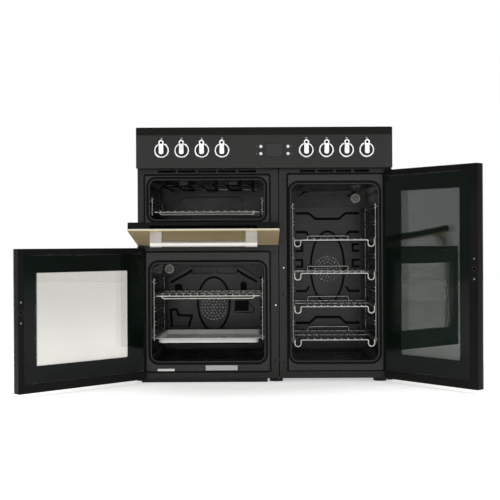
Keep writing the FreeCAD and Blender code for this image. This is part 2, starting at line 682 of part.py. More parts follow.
def cavity(space, back_holes=()):
    """An enamelled liner: its flange shows in the front frame's window and laps behind the frame."""
    (x0, x1), (z0, z1) = space["wx"], space["wz"]
    face = FRONT + FLANGE_SET
    joggle = FRONT + FRAME_SHEET + LIP_DEPTH
    g, t = GROOVE, SHEET
    shown = rounded(x0 + g, x1 - g, z0 + g, z1 - g, WINDOW_CORNER)
    wall_in = rounded(x0 + g + t, x1 - g - t, z0 + g + t, z1 - g - t, WINDOW_CORNER - t)
    flange = prism("y", shown, [grown(space, 0)], face, face + t)
    step = prism("y", shown, [wall_in], face, joggle + t)
    outer = rounded(x0 - OVERLAP, x1 + OVERLAP, z0 - OVERLAP, z1 + OVERLAP, WINDOW_CORNER + OVERLAP)
    rim = prism("y", outer, [wall_in], joggle, joggle + t)
    liner = prism("y", grown(space, t), [grown(space, 0)], face, FRONT + CAVITY_DEPTH)
    holes = [circle(x, z, r) for x, z, r in back_holes]
    wall = prism("y", grown(space, t), holes, FRONT + CAVITY_DEPTH, FRONT + CAVITY_DEPTH + t)
    return fuse([flange, step, rim, liner, wall])


def fan_holes(fan):
    x, z = fan
    legs = [(x + s * LEG_SPREAD, z + leg_rise(), ELEMENT + SEAT) for s in (-1, 1)]
    return [(x, z, SHAFT_RADIUS + LOOSE)] + legs


def grill_cavity():
    holes = [(x, GRILL_ELEMENT_LEVEL, ELEMENT + SEAT) for x in grill_element_ends()]
    body = cavity(GRILL, holes)
    hangers = []
    top = GRILL["z"][1]
    y, half = FRONT + HANGER_SET, HANGER_WIDTH / 2
    for x in spread(2, HANGER_SPREAD, sum(GRILL["x"]) / 2):
        low = GRILL_ELEMENT_LEVEL + ELEMENT + SEAT
        hangers.append(block(x - half, x + half, y, y + HANGER_DEPTH, low, top + SHEET / 2))
    return fuse([body] + hangers)


def main_cavity():
    return cavity(MAIN, fan_holes(MAIN_FAN) + [(*MAIN_LAMP, LAMP_NECK + SEAT)])


def tall_cavity():
    holes = fan_holes(TALL_FAN) + [(*TALL_LAMP, LAMP_NECK + SEAT)]
    holes += [(x, ROOF_ELEMENT_LEVEL, ELEMENT + SEAT) for x in roof_element_ends()]
    return cavity(TALL, holes)


def door_seals():
    """A fibre rope seal round each opening."""
    rings = []
    face = FRONT + FLANGE_SET - SEAT
    for s in SPACES:
        outer, inner = grown(s, SEAL_OFFSET + SEAL_WIDTH), grown(s, SEAL_OFFSET)
        ring = prism("y", outer, [inner], FRONT - SEAL_PROUD, face)
        crown = FRONT - SEAL_PROUD
        edges = [e for e in ring.Edges if all(abs(v.Y - crown) < 1e-6 for v in e.Vertexes)]
        rings.append(ring.makeFillet(SEAL_WIDTH / 2.5, edges))
    return Part.makeCompound(rings)


def cavity_insulation():
    """Mineral wool wrapped round each liner."""
    wraps = []
    for s in SPACES:
        inner = grown(s, SHEET + SEAT)
        outer = grown(s, SHEET + SEAT + WOOL)
        wraps.append(prism("y", outer, [inner], FRONT + WOOL_START, FRONT + CAVITY_DEPTH))
    return Part.makeCompound(wraps)


# ---- racks, shelves, tray ---------------------------------------------------------------------
def rung_levels(space, rungs):
    floor, roof = space["z"]
    first, last = floor + rungs["above"], roof - rungs["below"]
    pitch = (last - first) / (rungs["count"] - 1)
    return [first + i * pitch for i in range(rungs["count"])]


def all_side_racks():
    pairs = [(GRILL, GRILL_RUNGS), (MAIN, MAIN_RUNGS), (TALL, TALL_RUNGS)]
    return Part.makeCompound([rack for space, rungs in pairs for rack in side_racks(space, rungs)])


def side_racks(space, rungs):
    """Wire ladders on the cavity's two side walls, with a pair of rungs for each shelf height."""
    levels = rung_levels(space, rungs)
    low, high = levels[0] - POST_OVERRUN, levels[-1] + RUNG_PAIR + POST_OVERRUN
    y0, y1 = FRONT + RACK_FRONT, FRONT + RACK_BACK
    racks = []
    for wall, inward in zip(space["x"], (1, -1)):
        post, rung = wall + inward * POST_INSET, wall + inward * RUNG_INSET
        pieces = [rod_z(post, y, low, high, RACK_POST) for y in (y0, y1)]
        for z in levels:
            for level in (z, z + RUNG_PAIR):
                path = [(post, y0, level), (rung, y0, level), (rung, y1, level), (post, y1, level)]
                pieces.append(bent_wire(path, RACK_WIRE, RUNG_BEND))
        near, far = sorted((wall + inward * SEAT, post))
        for y in (y0, y1):
            for z in (levels[0] + RUNG_PAIR / 2, levels[-1] + RUNG_PAIR / 2):
                pieces.append(rod_x(near, far, y, z, RACK_STUD))
        racks.append(fuse(pieces))
    return racks


def shelf_spot(space, rungs, level):
    """A shelf's centre X, half width to its side wires, and the height of its frame wire."""
    centre = sum(space["x"]) / 2
    half = (space["x"][1] - space["x"][0]) / 2 - RUNG_INSET
    height = rung_levels(space, rungs)[level] + RACK_WIRE + SHELF_WIRE + SEAT
    return centre, half, height


def grid_wires(x0, x1, height, y0, y1):
    count = int((x1 - x0) / GRID_PITCH) - 1
    z = height + SHELF_WIRE + GRID_WIRE - WELD
    places = spread(count, (x1 - x0) / (count + 1), (x0 + x1) / 2)
    return [rod_y(x, y0 - WIRE_END, y1 + WIRE_END, z, GRID_WIRE) for x in places]


def flat_shelf(space, rungs, level):
    """A wire shelf: a frame wire, a grid on it, a cross wire under it and a second wire low in front."""
    centre, half, z = shelf_spot(space, rungs, level)
    x0, x1 = centre - half, centre + half
    y0, y1 = FRONT + SHELF_FRONT, FRONT + SHELF_BACK
    r = SHELF_WIRE
    ends = y1 + WIRE_END
    frame = bent_wire([(x0, ends, z), (x0, y0, z), (x1, y0, z), (x1, ends, z)], r, SHELF_CORNER)
    a, b, low = x0 + 2 * SHELF_CORNER, x1 - 2 * SHELF_CORNER, z - FRONT_DROP
    path = [(a, y0, z), (a + FRONT_DROP, y0, low), (b - FRONT_DROP, y0, low), (b, y0, z)]
    lower = bent_wire(path, BRACE_WIRE, FRONT_DROP / 2)
    return fuse([frame, lower] + cross_wires(x0, x1, y0, y1, z) + grid_wires(x0, x1, z, y0, y1))


def cross_wires(x0, x1, y0, y1, z):
    """A wire along the back and a thinner one under the middle of the grid."""
    middle = z + SHELF_WIRE - GRID_WIRE
    return [rod_x(x0, x1, y1, z, BRACE_WIRE), rod_x(x0, x1, (y0 + y1) / 2, middle, GRID_WIRE)]


def hooked_shelf(space, rungs, level):
    """A wire shelf whose front wire dips in a hook at each end; a low loop at the back stops pans."""
    centre, half, z = shelf_spot(space, rungs, level)
    x0, x1 = centre - half, centre + half
    y0, y1 = FRONT + SHELF_FRONT, FRONT + SHELF_BACK
    r, w, d = SHELF_WIRE, HOOK_WIDTH, HOOK_DROP
    left = [(x0, y0, z + r), (x0, y0, z - d), (x0 + w, y0, z - d), (x0 + w, y0, z)]
    right = [(x1 + x0 - x, y, h) for x, y, h in reversed(left)]
    front = hooked_wire(left, right)
    sides = [rod_y(x, y0 - WIRE_END, y1 + WIRE_END, z, BRACE_WIRE + WELD / 3) for x in (x0, x1)]
    s0, s1, up = centre - STOP_HALF, centre + STOP_HALF, z + STOP_HEIGHT
    path = [(s0, y1, z), (s0, y1, up), (s1, y1, up), (s1, y1, z)]
    stop = bent_wire(path, BRACE_WIRE - WELD / 3, HOOK_SHOULDER)
    grid = grid_wires(x0 + w, x1 - w, z, y0, y1)
    return fuse([front, stop] + sides + cross_wires(x0, x1, y0, y1, z) + grid)


def hooked_wire(left, right):
    """The front wire: wide bends at the foot of each hook, tight ones at its shoulder."""
    points = left + right
    bends = [HOOK_BEND, HOOK_BEND, HOOK_SHOULDER, HOOK_SHOULDER, HOOK_BEND, HOOK_BEND]
    edges, last = [], V(*points[0])
    for i, bend in enumerate(bends, 1):
        before, here, after = V(*points[i - 1]), V(*points[i]), V(*points[i + 1])
        back, ahead = (before - here).normalize(), (after - here).normalize()
        start, end = here + back * bend, here + ahead * bend
        top = here + (back + ahead).normalize() * (bend * (math.sqrt(2) - 1))
        if (start - last).Length > 1e-6:
            edges.append(Part.LineSegment(last, start).toShape())
        edges.append(Part.Arc(start, top, end).toShape())
        last = end
    edges.append(Part.LineSegment(last, V(*points[-1])).toShape())
    profile = Part.Wire([Part.Circle(V(*points[0]), V(0, 0, 1), SHELF_WIRE).toShape()])
    return Part.Wire(edges).makePipeShell([profile], True, False)


def oven_tray():
    """A shallow enamelled tray whose rim slides on the lowest rungs of the main oven."""
    centre, half, _ = shelf_spot(MAIN, MAIN_RUNGS, 0)
    top = rung_levels(MAIN, MAIN_RUNGS)[0] + RACK_WIRE + SEAT + TRAY_SHEET
    half = half + RACK_WIRE
    x0, x1 = centre - half, centre + half
    y0, y1 = FRONT + SHELF_FRONT, FRONT + SHELF_BACK
    w, t = TRAY_RIM, TRAY_SHEET
    well = rounded(x0 + w, x1 - w, y0 + w, y1 - w, TRAY_CORNER)
    well_out = rounded(x0 + w - t, x1 - w + t, y0 + w - t, y1 - w + t, TRAY_CORNER + t)
    rim = prism("z", rounded(x0, x1, y0, y1, TRAY_CORNER), [well], top - t, top)
    wall = prism("z", well_out, [well], top - TRAY_DEPTH, top)
    floor = prism("z", well_out, [], top - TRAY_DEPTH - t, top - TRAY_DEPTH)
    return fuse([rim, wall, floor])


# ---- fans, elements, lamps --------------------------------------------------------------------
def air_holes(fan):
    """Rings of round holes in front of the fan."""
    x, z = fan
    places = [(x, z)]
    for ring in range(1, COVER_RINGS + 1):
        count = 6 * ring
        for i in range(count):
            t = 2 * math.pi * i / count
            places.append((x + ring * COVER_RING_PITCH * math.cos(t), z + ring * COVER_RING_PITCH * math.sin(t)))
    return [circle(a, b, COVER_HOLE) for a, b in places]


def fan_cover(outline, inner, fan, beads, ovals, slots):
    """The pressed sheet in front of a fan: a face with air holes and beads, and a skirt to the wall."""
    y0, y1 = FRONT + COVER_SET, FRONT + CAVITY_DEPTH - SEAT
    face = prism("y", outline, air_holes(fan) + slots, y0, y0 + SHEET)
    skirt = prism("y", outline, [inner], y0, y1)
    extra = [bent_wire([(x, y0, z) for x, z in path], BEAD, bend) for path, bend in beads]
    for ring, hole in ovals:
        extra.append(prism("y", ring, [hole], y0 - BEAD, y0 + SHEET / 2))
    return fuse([face, skirt] + extra)


def main_fan_cover():
    """The left oven's cover: chamfered above, with an egg-shaped bead round the air holes."""
    (wall_left, wall_right), (floor, roof) = MAIN["x"], MAIN["z"]
    x0, x1, z0 = wall_left + 18, wall_right - 16, floor + 13
    shoulder, top = roof - 70, roof - 22
    in_left, in_right = x0 + 83, x1 - 79
    t = SHEET
    line = [(x0, z0), (x1, z0), (x1, shoulder), (in_right, top), (in_left, top), (x0, shoulder)]
    slim = [(x0 + t, z0 + t), (x1 - t, z0 + t), (x1 - t, shoulder - t), (in_right - t, top - t),
            (in_left + t, top - t), (x0 + t, shoulder - t)]
    x, z = MAIN_FAN
    widest, half = z + 20.4, 65
    up, down = top - 34 - widest, widest - z0 - 55
    g = OVAL_LINE
    egg = (oval(x, widest, half, up, down), oval(x, widest, half - g, up - g, down - g))
    ridge = top - 32
    beads = [
        ([(x0 + 12, shoulder - 8), (in_left - 6, ridge + 10), (in_left + 12, ridge + 24)], 8),
        ([(x1 - 12, shoulder - 8), (in_right + 6, ridge + 10), (in_right - 12, ridge + 24)], 8),
        ([(x0 + 11, z0 + 140), (x0 + 17, z0 + 78), (x0 + 84, z0 + 78), (x0 + 97, z0 + 116),
          (x0 + 51, z0 + 118), (x0 + 39, z0 + 141), (x0 + 18, z0 + 142)], 4),
        ([(x1 - 101, z0 + 134), (x1 - 97, z0 + 174), (x1 - 48, z0 + 174), (x1 - 23, z0 + 144),
          (x1 - 29, z0 + 132), (x1 - 94, z0 + 132)], 4),
        ([(x0 + 31, top - 86), (x0 + 34, top - 67), (x0 + 53, top - 67), (x0 + 56, top - 86)], 4),
        ([(x1 - 76, top - 88), (x1 - 74, top - 60), (x1 - 57, top - 60), (x1 - 54, top - 88)], 4),
        ([(x0 + 14, z0 + 24), (x0 + 60, z0 + 10), (x1 - 60, z0 + 10), (x1 - 14, z0 + 24)], 12),
    ]
    slots = [rounded(a, b, ridge + 6, top - 8, 4) for a, b in ((in_left + 9, x - 2), (x + 8, in_right - 9))]
    return fan_cover(polygon(line), polygon(slim), MAIN_FAN, beads, [egg], slots)


def tall_fan_cover():
    """The right oven's cover: an oblong with a long egg-shaped bead and ribs to its sides."""
    (wall_left, wall_right), (floor, roof) = TALL["x"], TALL["z"]
    x0, x1, z0, z1 = wall_left + 20.5, wall_right - 20.5, floor + 17, roof - 67
    x, z = TALL_FAN
    widest, half, g = z + 5, 68, OVAL_LINE
    up, down = z1 - 90 - widest, widest - z0 - 157
    eggs = (oval(x, widest, half, up, down), oval(x, widest, half - g, up - g, down - g))
    high, dip = z1 - 21, z1 - 43
    foot, rise = z0 + 82, z0 + 105
    inset = 8
    beads = [
        ([(x0 + inset, high), (x - 72, high), (x - 46, dip), (x + 46, dip), (x + 72, high), (x1 - inset, high)], 8),
        ([(x0 + inset, foot), (x - 72, foot), (x - 46, rise), (x + 46, rise), (x + 72, foot), (x1 - inset, foot)], 8),
    ]
    for side, wall in ((-1, x0), (1, x1)):
        edge = wall - side * inset
        near = edge - side * 41.5
        for level, turn in ((z1 - 95, -1), (z0 + 208, 1)):
            beads.append(([(edge, level), (near, level), (near - side * 12, level + turn * 18)], 6))
        near = edge - side * 25.5
        for level in (z + 88, z + 26):
            beads.append(([(edge, level + 8), (near, level + 8), (near, level - 18), (edge, level - 18)], 7))
    slots = [rounded(a, a + 6, z0 + 30, z0 + 68, 2.5) for a in (x0 + inset, x1 - inset - 6)]
    outline = rounded(x0, x1, z0, z1, 6)
    inner = rounded(x0 + SHEET, x1 - SHEET, z0 + SHEET, z1 - SHEET, 6 - SHEET)
    return fan_cover(outline, inner, TALL_FAN, beads, [eggs], slots)


def fan_wheel(fan):
    """A disc with radial blades on a hub that runs with the motor's shaft."""
    x, z = fan
    y0 = FRONT + COVER_SET + FAN_SET
    disc = rod_y(x, y0 + FAN_DEPTH - SHEET, y0 + FAN_DEPTH, z, FAN_RADIUS)
    hub = rod_y(x, y0, y0 + FAN_DEPTH, z, FAN_HUB)
    blades = []
    for i in range(FAN_BLADES):
        blade = block(x + FAN_RADIUS * 0.55, x + FAN_RADIUS - 2, y0, y0 + FAN_DEPTH, z - SHEET / 2, z + SHEET / 2)
        blade.rotate(V(x, y0, z), V(0, 1, 0), i * 360 / FAN_BLADES)
        blades.append(blade)
    wheel = fuse([disc, hub] + blades)
    return wheel.cut(rod_y(x, y0 - 1, y0 + FAN_DEPTH + 1, z, SHAFT_RADIUS + RUN))


def fan_motors():
    motors = []
    wall = FRONT + CAVITY_DEPTH + SHEET
    for x, z in (MAIN_FAN, TALL_FAN):
        plate = block(x - MOTOR_RADIUS - 10, x + MOTOR_RADIUS + 10, wall + SEAT, wall + SEAT + SHEET, z - 15, z + 15)
        can = rod_y(x, wall + SEAT, wall + SEAT + MOTOR_LENGTH, z, MOTOR_RADIUS)
        shaft = rod_y(x, FRONT + COVER_SET + FAN_SET - 1, wall + 1, z, SHAFT_RADIUS)
        motors.append(fuse([plate, can, shaft]))
    return Part.makeCompound(motors)


def grill_element_ends():
    x0, x1 = GRILL["x"]
    return [x0 + GRILL_ELEMENT_INSET, x1 - GRILL_ELEMENT_INSET]


def roof_element_ends():
    centre = sum(TALL["x"]) / 2
    return [centre - ROOF_ELEMENT_LEFT, centre + ROOF_ELEMENT_RIGHT]


def heating_elements():
    """The grill's serpentine, the tall oven's roof element and a ring round each fan."""
    wall = FRONT + CAVITY_DEPTH + SHEET + ELEMENT_TAIL
    left, right = grill_element_ends()
    pitch = (right - left) / (GRILL_ELEMENT_RUNS - 1)
    near, far = FRONT + GRILL_ELEMENT_FRONT, FRONT + GRILL_ELEMENT_BACK
    path = [(left, wall, GRILL_ELEMENT_LEVEL)]
    for i in range(GRILL_ELEMENT_RUNS):
        x = left + i * pitch
        ends = (far, near) if i % 2 == 0 else (near, far)
        if i > 0:
            path.append((x, ends[0], GRILL_ELEMENT_LEVEL))
        if i < GRILL_ELEMENT_RUNS - 1:
            path.append((x, ends[1], GRILL_ELEMENT_LEVEL))
    path.append((right, wall, GRILL_ELEMENT_LEVEL))
    elements = [bent_wire(path, ELEMENT, pitch / 2.2)]
    a, b = roof_element_ends()
    front, level = FRONT + ROOF_ELEMENT_FRONT, ROOF_ELEMENT_LEVEL
    roof = [(a, wall, level), (a, front, level), (b, front, level), (b, wall, level)]
    elements.append(bent_wire(roof, ELEMENT, ROOF_ELEMENT_BEND))
    for x, z in (MAIN_FAN, TALL_FAN):
        elements.append(ring_element(x, z, wall))
    return Part.makeCompound(elements)


def leg_rise():
    """Height of a ring element's open ends above the ring's centre."""
    return math.sqrt(RING_RADIUS ** 2 - LEG_SPREAD ** 2)


def ring_element(x, z, wall):
    """One open ring round the fan, its two ends turned back through the wall."""
    y, top = FRONT + COVER_SET + RING_SET, z + leg_rise()
    start, end = V(x + LEG_SPREAD, y, top), V(x - LEG_SPREAD, y, top)
    path = Part.Wire([Part.Arc(start, V(x, y, z - RING_RADIUS), end).toShape()])
    heading = V(leg_rise(), 0, -LEG_SPREAD)
    profile = Part.Wire([Part.Circle(start, heading, ELEMENT).toShape()])
    pieces = [path.makePipeShell([profile], True, False)]
    for corner in (start, end):
        pieces.append(Part.makeSphere(ELEMENT, corner))
        pieces.append(rod_y(corner.x, y, wall, top, ELEMENT))
    return fuse(pieces)


def oven_lamps():
    """A domed glass lens on the back wall of each oven, its neck through the wall."""
    lamps = []
    face = FRONT + CAVITY_DEPTH - SEAT
    for x, z in (MAIN_LAMP, TALL_LAMP):
        lens = rod_y(x, face - LAMP_PROUD, face, z, LAMP_RADIUS)
        front = [e for e in lens.Edges if all(abs(v.Y - face + LAMP_PROUD) < 1e-6 for v in e.Vertexes)]
        lens = lens.makeFillet(LAMP_PROUD * 0.6, front)
        lamps.append(fuse([lens, rod_y(x, face - 1, face + LAMP_LENGTH, z, LAMP_NECK)]))
    return Part.makeCompound(lamps)


# ---- doors ------------------------------------------------------------------------------------
DOOR_INNER = FRONT - DOOR_GAP
GLASS_BACK = DOOR_INNER - DOOR_FRAME
GLASS_FACE = GLASS_BACK - DOOR_GLASS
PIVOT_Y = (DOOR_INNER + GLASS_FACE) / 2
LEFT_EDGE = -WIDTH / 2 + DOOR_EDGE
RIGHT_EDGE = WIDTH / 2 - DOOR_EDGE
LEFT_MEET = SEAM_X - SEAM_GAP / 2
RIGHT_MEET = SEAM_X + SEAM_GAP / 2
MAIN_DOOR = {"x": (LEFT_EDGE, LEFT_MEET), "z": (DOOR_BOTTOM, MAIN_DOOR_TOP),
             "window": (60.0, 84.0, 83.4, 78.0), "pane": (5.0, 43.0, 30.4, 21.0)}
TALL_DOOR = {"x": (RIGHT_MEET, RIGHT_EDGE), "z": (DOOR_BOTTOM, DOOR_TOP),
             "window": (90.0, 48.0, 91.4, 68.0), "pane": (60.0, 5.0, 30.4, 21.0)}
GRILL_DOOR = {"x": (LEFT_EDGE, LEFT_MEET), "z": (GRILL_DOOR_BOTTOM, DOOR_TOP),
              "window": (70.0, 70.0, 70.0, 62.0), "pane": (24.0, 24.0, 40.0, 21.0)}


def inset_of(door, name):
    """A rectangle inside the door: left, right, bottom and top margins from the door's edges."""
    (x0, x1), (z0, z1) = door["x"], door["z"]
    left, right, bottom, top = door[name]
    return x0 + left, x1 - right, z0 + bottom, z1 - top


def pivot_x(side):
    return side * (WIDTH / 2 - DOOR_EDGE - PIVOT_INSET)


def handle_span(door):
    x0, x1 = door["x"]
    return x0 + HANDLE_INSET, x1 - HANDLE_INSET


def door_frame(door, catch=None, side=0):
    """A frame of formed sheet, open towards the glass, with a seat for the inner pane."""
    (x0, x1), (z0, z1) = door["x"], door["z"]
    a0, a1, b0, b1 = inset_of(door, "window")
    m, t = WINDOW_REVEAL, DOOR_WALL
    hole = rounded(a0 - m, a1 + m, b0 - m, b1 + m, 6)
    y0, y1 = GLASS_BACK + SEAT, DOOR_INNER
    frame = prism("y", rounded(x0, x1, z0, z1, 3), [hole], y0, y1)
    guard = rounded(a0 - m - t, a1 + m + t, b0 - m - t, b1 + m + t, 6 + t)
    channel = prism("y", rounded(x0 + t, x1 - t, z0 + t, z1 - t, 2), [guard], y0 - 1, y0 + CHANNEL)
    p0, p1, q0, q1 = inset_of(door, "pane")
    seat = prism("y", rounded(p0 - SEAT, p1 + SEAT, q0 - SEAT, q1 + SEAT, 6), [], y1 - PANE - 2 * SEAT, y1 + 1)
    h0, h1 = handle_span(door)
    slot = block(h0, h1, y0 - 1, y0 + VENT_SLOT, z1 - t - 1, z1 + 1)
    frame = frame.cut([channel, seat, slot])
    if side:
        px = pivot_x(side)
        b0x, b1x = sorted((px - side * BOSS * 1.2, side * (WIDTH / 2 - DOOR_EDGE)))
        bosses = [block(b0x, b1x, y0, y1, z0, z0 + PIN_LENGTH + t),
                  block(b0x, b1x, y0, y1, z1 - PIN_LENGTH - t, z1)]
        frame = fuse([frame] + bosses)
        bores = [rod_z(px, PIVOT_Y, z0 - 1, z0 + PIN_LENGTH, PIN_RADIUS + RUN),
                 rod_z(px, PIVOT_Y, z1 - PIN_LENGTH, z1 + 1, PIN_RADIUS + RUN)]
        frame = frame.cut(bores)
    if catch:
        frame = frame.cut(rod_y(catch[0], y0 - 1, y1 + 1, catch[1], CATCH_HOLE))
    return frame


def tab_places():
    return [LEFT_EDGE + TAB_INSET, LEFT_MEET - TAB_INSET]


def grill_pivot():
    return FRONT - GRILL_PIVOT_SET, GRILL_DOOR_BOTTOM + GRILL_PIVOT_RISE


def grill_door_frame():
    """The grill door's frame: each end has a notch with a pin that hangs on a fixed tab."""
    frame = door_frame(GRILL_DOOR)
    y, z = grill_pivot()
    y0, y1, low = GLASS_BACK + SEAT, DOOR_INNER, GRILL_DOOR_BOTTOM
    room = TAB / 2 + TAB_ROOM
    for x in tab_places():
        boss = block(x - room - 6, x + room + 6, y0, y1, low, z + 12)
        frame = fuse([frame, boss])
        notch = block(x - room, x + room, y0 - 1, y1 + 1, low - 1, z + TAB_HALF + TAB_ROOM)
        pin = rod_x(x - room - 4, x + room + 4, y, z, GRILL_PIN)
        frame = fuse([frame.cut(notch), pin])
    return frame


def door_glass(door):
    (x0, x1), (z0, z1) = door["x"], door["z"]
    level = z1 - HANDLE_DROP
    holes = [circle(x, level, HANDLE_STUD + SEAT) for x in bracket_places(door)]
    return prism("y", rounded(x0, x1, z0, z1, 3), holes, GLASS_FACE, GLASS_BACK)


def inner_pane(door):
    p0, p1, q0, q1 = inset_of(door, "pane")
    return prism("y", rounded(p0, p1, q0, q1, 6), [], DOOR_INNER - PANE - SEAT, DOOR_INNER - SEAT)


def bracket_places(door):
    h0, h1 = handle_span(door)
    return [h0 + BRACKET_WIDTH / 2, h1 - BRACKET_WIDTH / 2]


def door_handle(door):
    """A round bar between two brackets that curve out from the glass."""
    h0, h1 = handle_span(door)
    z = door["z"][1] - HANDLE_DROP
    foot = GLASS_FACE - SEAT
    axis = GLASS_FACE - HANDLE_REACH
    bar = rod_x(h0 + 1, h1 - 1, axis, z, BAR_RADIUS)
    r = BRACKET_RADIUS
    up, down = z + BRACKET_FOOT_UP, z - BRACKET_FOOT_DOWN
    middle = V((foot + axis) / 2 + r * 0.4, z - r - 1.0, 0)
    lines = [Part.LineSegment(V(foot, down, 0), V(foot, up, 0)).toShape(),
             Part.LineSegment(V(foot, up, 0), V(axis, z + r, 0)).toShape(),
             Part.LineSegment(V(axis, z + r, 0), V(axis, z - r, 0)).toShape(),
             Part.Arc(V(axis, z - r, 0), middle, V(foot, down, 0)).toShape()]
    profile = Part.Wire(Part.sortEdges(lines)[0])
    pieces = [bar]
    for x in bracket_places(door):
        x0, x1 = x - BRACKET_WIDTH / 2, x + BRACKET_WIDTH / 2
        pieces.append(prism("x", profile, [], x0, x1))
        pieces.append(rod_x(x0, x1, axis, z, r))
        pieces.append(rod_y(x, foot - 1, GLASS_BACK + STUD_LENGTH, z, HANDLE_STUD))
    return fuse(pieces)


def opened_main(shape):
    return turned(shape, (pivot_x(-1), PIVOT_Y, 0), (0, 0, 1), -MAIN_OPEN)


def opened_tall(shape):
    return turned(shape, (pivot_x(1), PIVOT_Y, 0), (0, 0, 1), TALL_OPEN)


def opened_grill(shape):
    y, z = grill_pivot()
    return turned(shape, (0, y, z), (1, 0, 0), GRILL_OPEN)


# ---- hinges and catches -----------------------------------------------------------------------
def hinge_span(side):
    return sorted((side * (WIDTH / 2 - DOOR_EDGE), pivot_x(side) - side * BOSS))


def tongue_span(side):
    """The part of a hinge plate that passes the frame, beside the side panel's flange."""
    return sorted((side * (WIDTH / 2 - SHEET - SKIN_FLANGE - SEAT), pivot_x(side) - side * BOSS))


def hinge_slot(side, door_top):
    x0, x1 = tongue_span(side)
    z = door_top + LOOSE
    y0, y1 = FRONT - 1, FRONT + FRAME_SHEET + 1
    return block(x0 - SEAT, x1 + SEAT, y0, y1, z - SEAT, z + HINGE_PLATE + SEAT)


def tab_slot(x):
    _, z = grill_pivot()
    y0, y1 = FRONT - 1, FRONT + FRAME_SHEET + 1
    half = TAB / 2 + SEAT
    return block(x - half, x + half, y0, y1, z - TAB_HALF - SEAT, z + TAB_HALF + SEAT)


def hinge_brackets():
    """Plates with fixed pins above and below each swing door, and two tabs for the grill door."""
    pieces = []
    for side, top in ((-1, MAIN_DOOR_TOP), (1, DOOR_TOP)):
        x0, x1 = hinge_span(side)
        px = pivot_x(side)
        under = GROUND_CLEARANCE - SEAT
        low = block(x0, x1, FRONT - HINGE_REACH, FRONT + 2 * FRAME_SHEET, under - HINGE_PLATE, under)
        low_pin = rod_z(px, PIVOT_Y, under - 1, DOOR_BOTTOM + PIN_LENGTH - LOOSE, PIN_RADIUS)
        pieces.append(fuse([low, low_pin]))
        base = top + LOOSE
        high = block(x0, x1, FRONT - HINGE_REACH, FRONT - SEAT, base, base + HINGE_PLATE)
        tongue = block(*tongue_span(side), FRONT - 1, FRONT + TONGUE_REACH, base, base + HINGE_PLATE)
        high_pin = rod_z(px, PIVOT_Y, top - PIN_LENGTH + LOOSE, base + 1, PIN_RADIUS)
        pieces.append(fuse([high, tongue, high_pin]))
    y, z = grill_pivot()
    for x in tab_places():
        arm = block(x - TAB / 2, x + TAB / 2, y, FRONT + TONGUE_REACH, z - TAB_HALF, z + TAB_HALF)
        eye = rod_x(x - TAB / 2, x + TAB / 2, y, z, TAB_HALF)
        tab = fuse([arm, eye])
        pieces.append(tab.cut(rod_x(x - TAB, x + TAB, y, z, GRILL_PIN + RUN)))
    return Part.makeCompound(pieces)


def door_catches():
    """A domed stud on the pillar for each swing door."""
    studs = []
    for x, z in (MAIN_CATCH, TALL_CATCH):
        neck = rod_y(x, FRONT - CATCH_REACH + CATCH_RADIUS, FRONT - SEAT, z, CATCH_RADIUS)
        dome = Part.makeSphere(CATCH_RADIUS, V(x, FRONT - CATCH_REACH + CATCH_RADIUS, z))
        shank = rod_y(x, FRONT - 1, FRONT + FRAME_SHEET + SEAT + 1, z, CATCH_SHANK)
        head = rod_y(x, FRONT + FRAME_SHEET + SEAT, FRONT + FRAME_SHEET + SEAT + SHEET, z, CATCH_HEAD)
        studs.append(fuse([neck, dome, shank, head]))
    return Part.makeCompound(studs)


# ---- mains inlet ------------------------------------------------------------------------------
def mains_terminal():
    """The cover of the mains terminals, low on the back, with an open gland for the supply cable."""
    w, h = TERMINAL_WIDTH / 2, TERMINAL_HEIGHT / 2
    y0, y1 = BACK + SEAT, BACK + SEAT + TERMINAL_DEPTH
    low = TERMINAL_Z - h
    cover = block(TERMINAL_X - w, TERMINAL_X + w, y0, y1, low, TERMINAL_Z + h)
    room = block(TERMINAL_X - w + SHEET, TERMINAL_X + w - SHEET, y0 - 1, y1 - SHEET, low + SHEET, TERMINAL_Z + h - SHEET)
    y = (y0 + y1) / 2
    gland = rod_z(TERMINAL_X, y, low - GLAND_LENGTH + SHEET, low + SHEET, GLAND_OUTER)
    bore = rod_z(TERMINAL_X, y, low - GLAND_LENGTH, low + SHEET + 1, GLAND_BORE)
    return fuse([cover.cut(room), gland]).cut(bore)


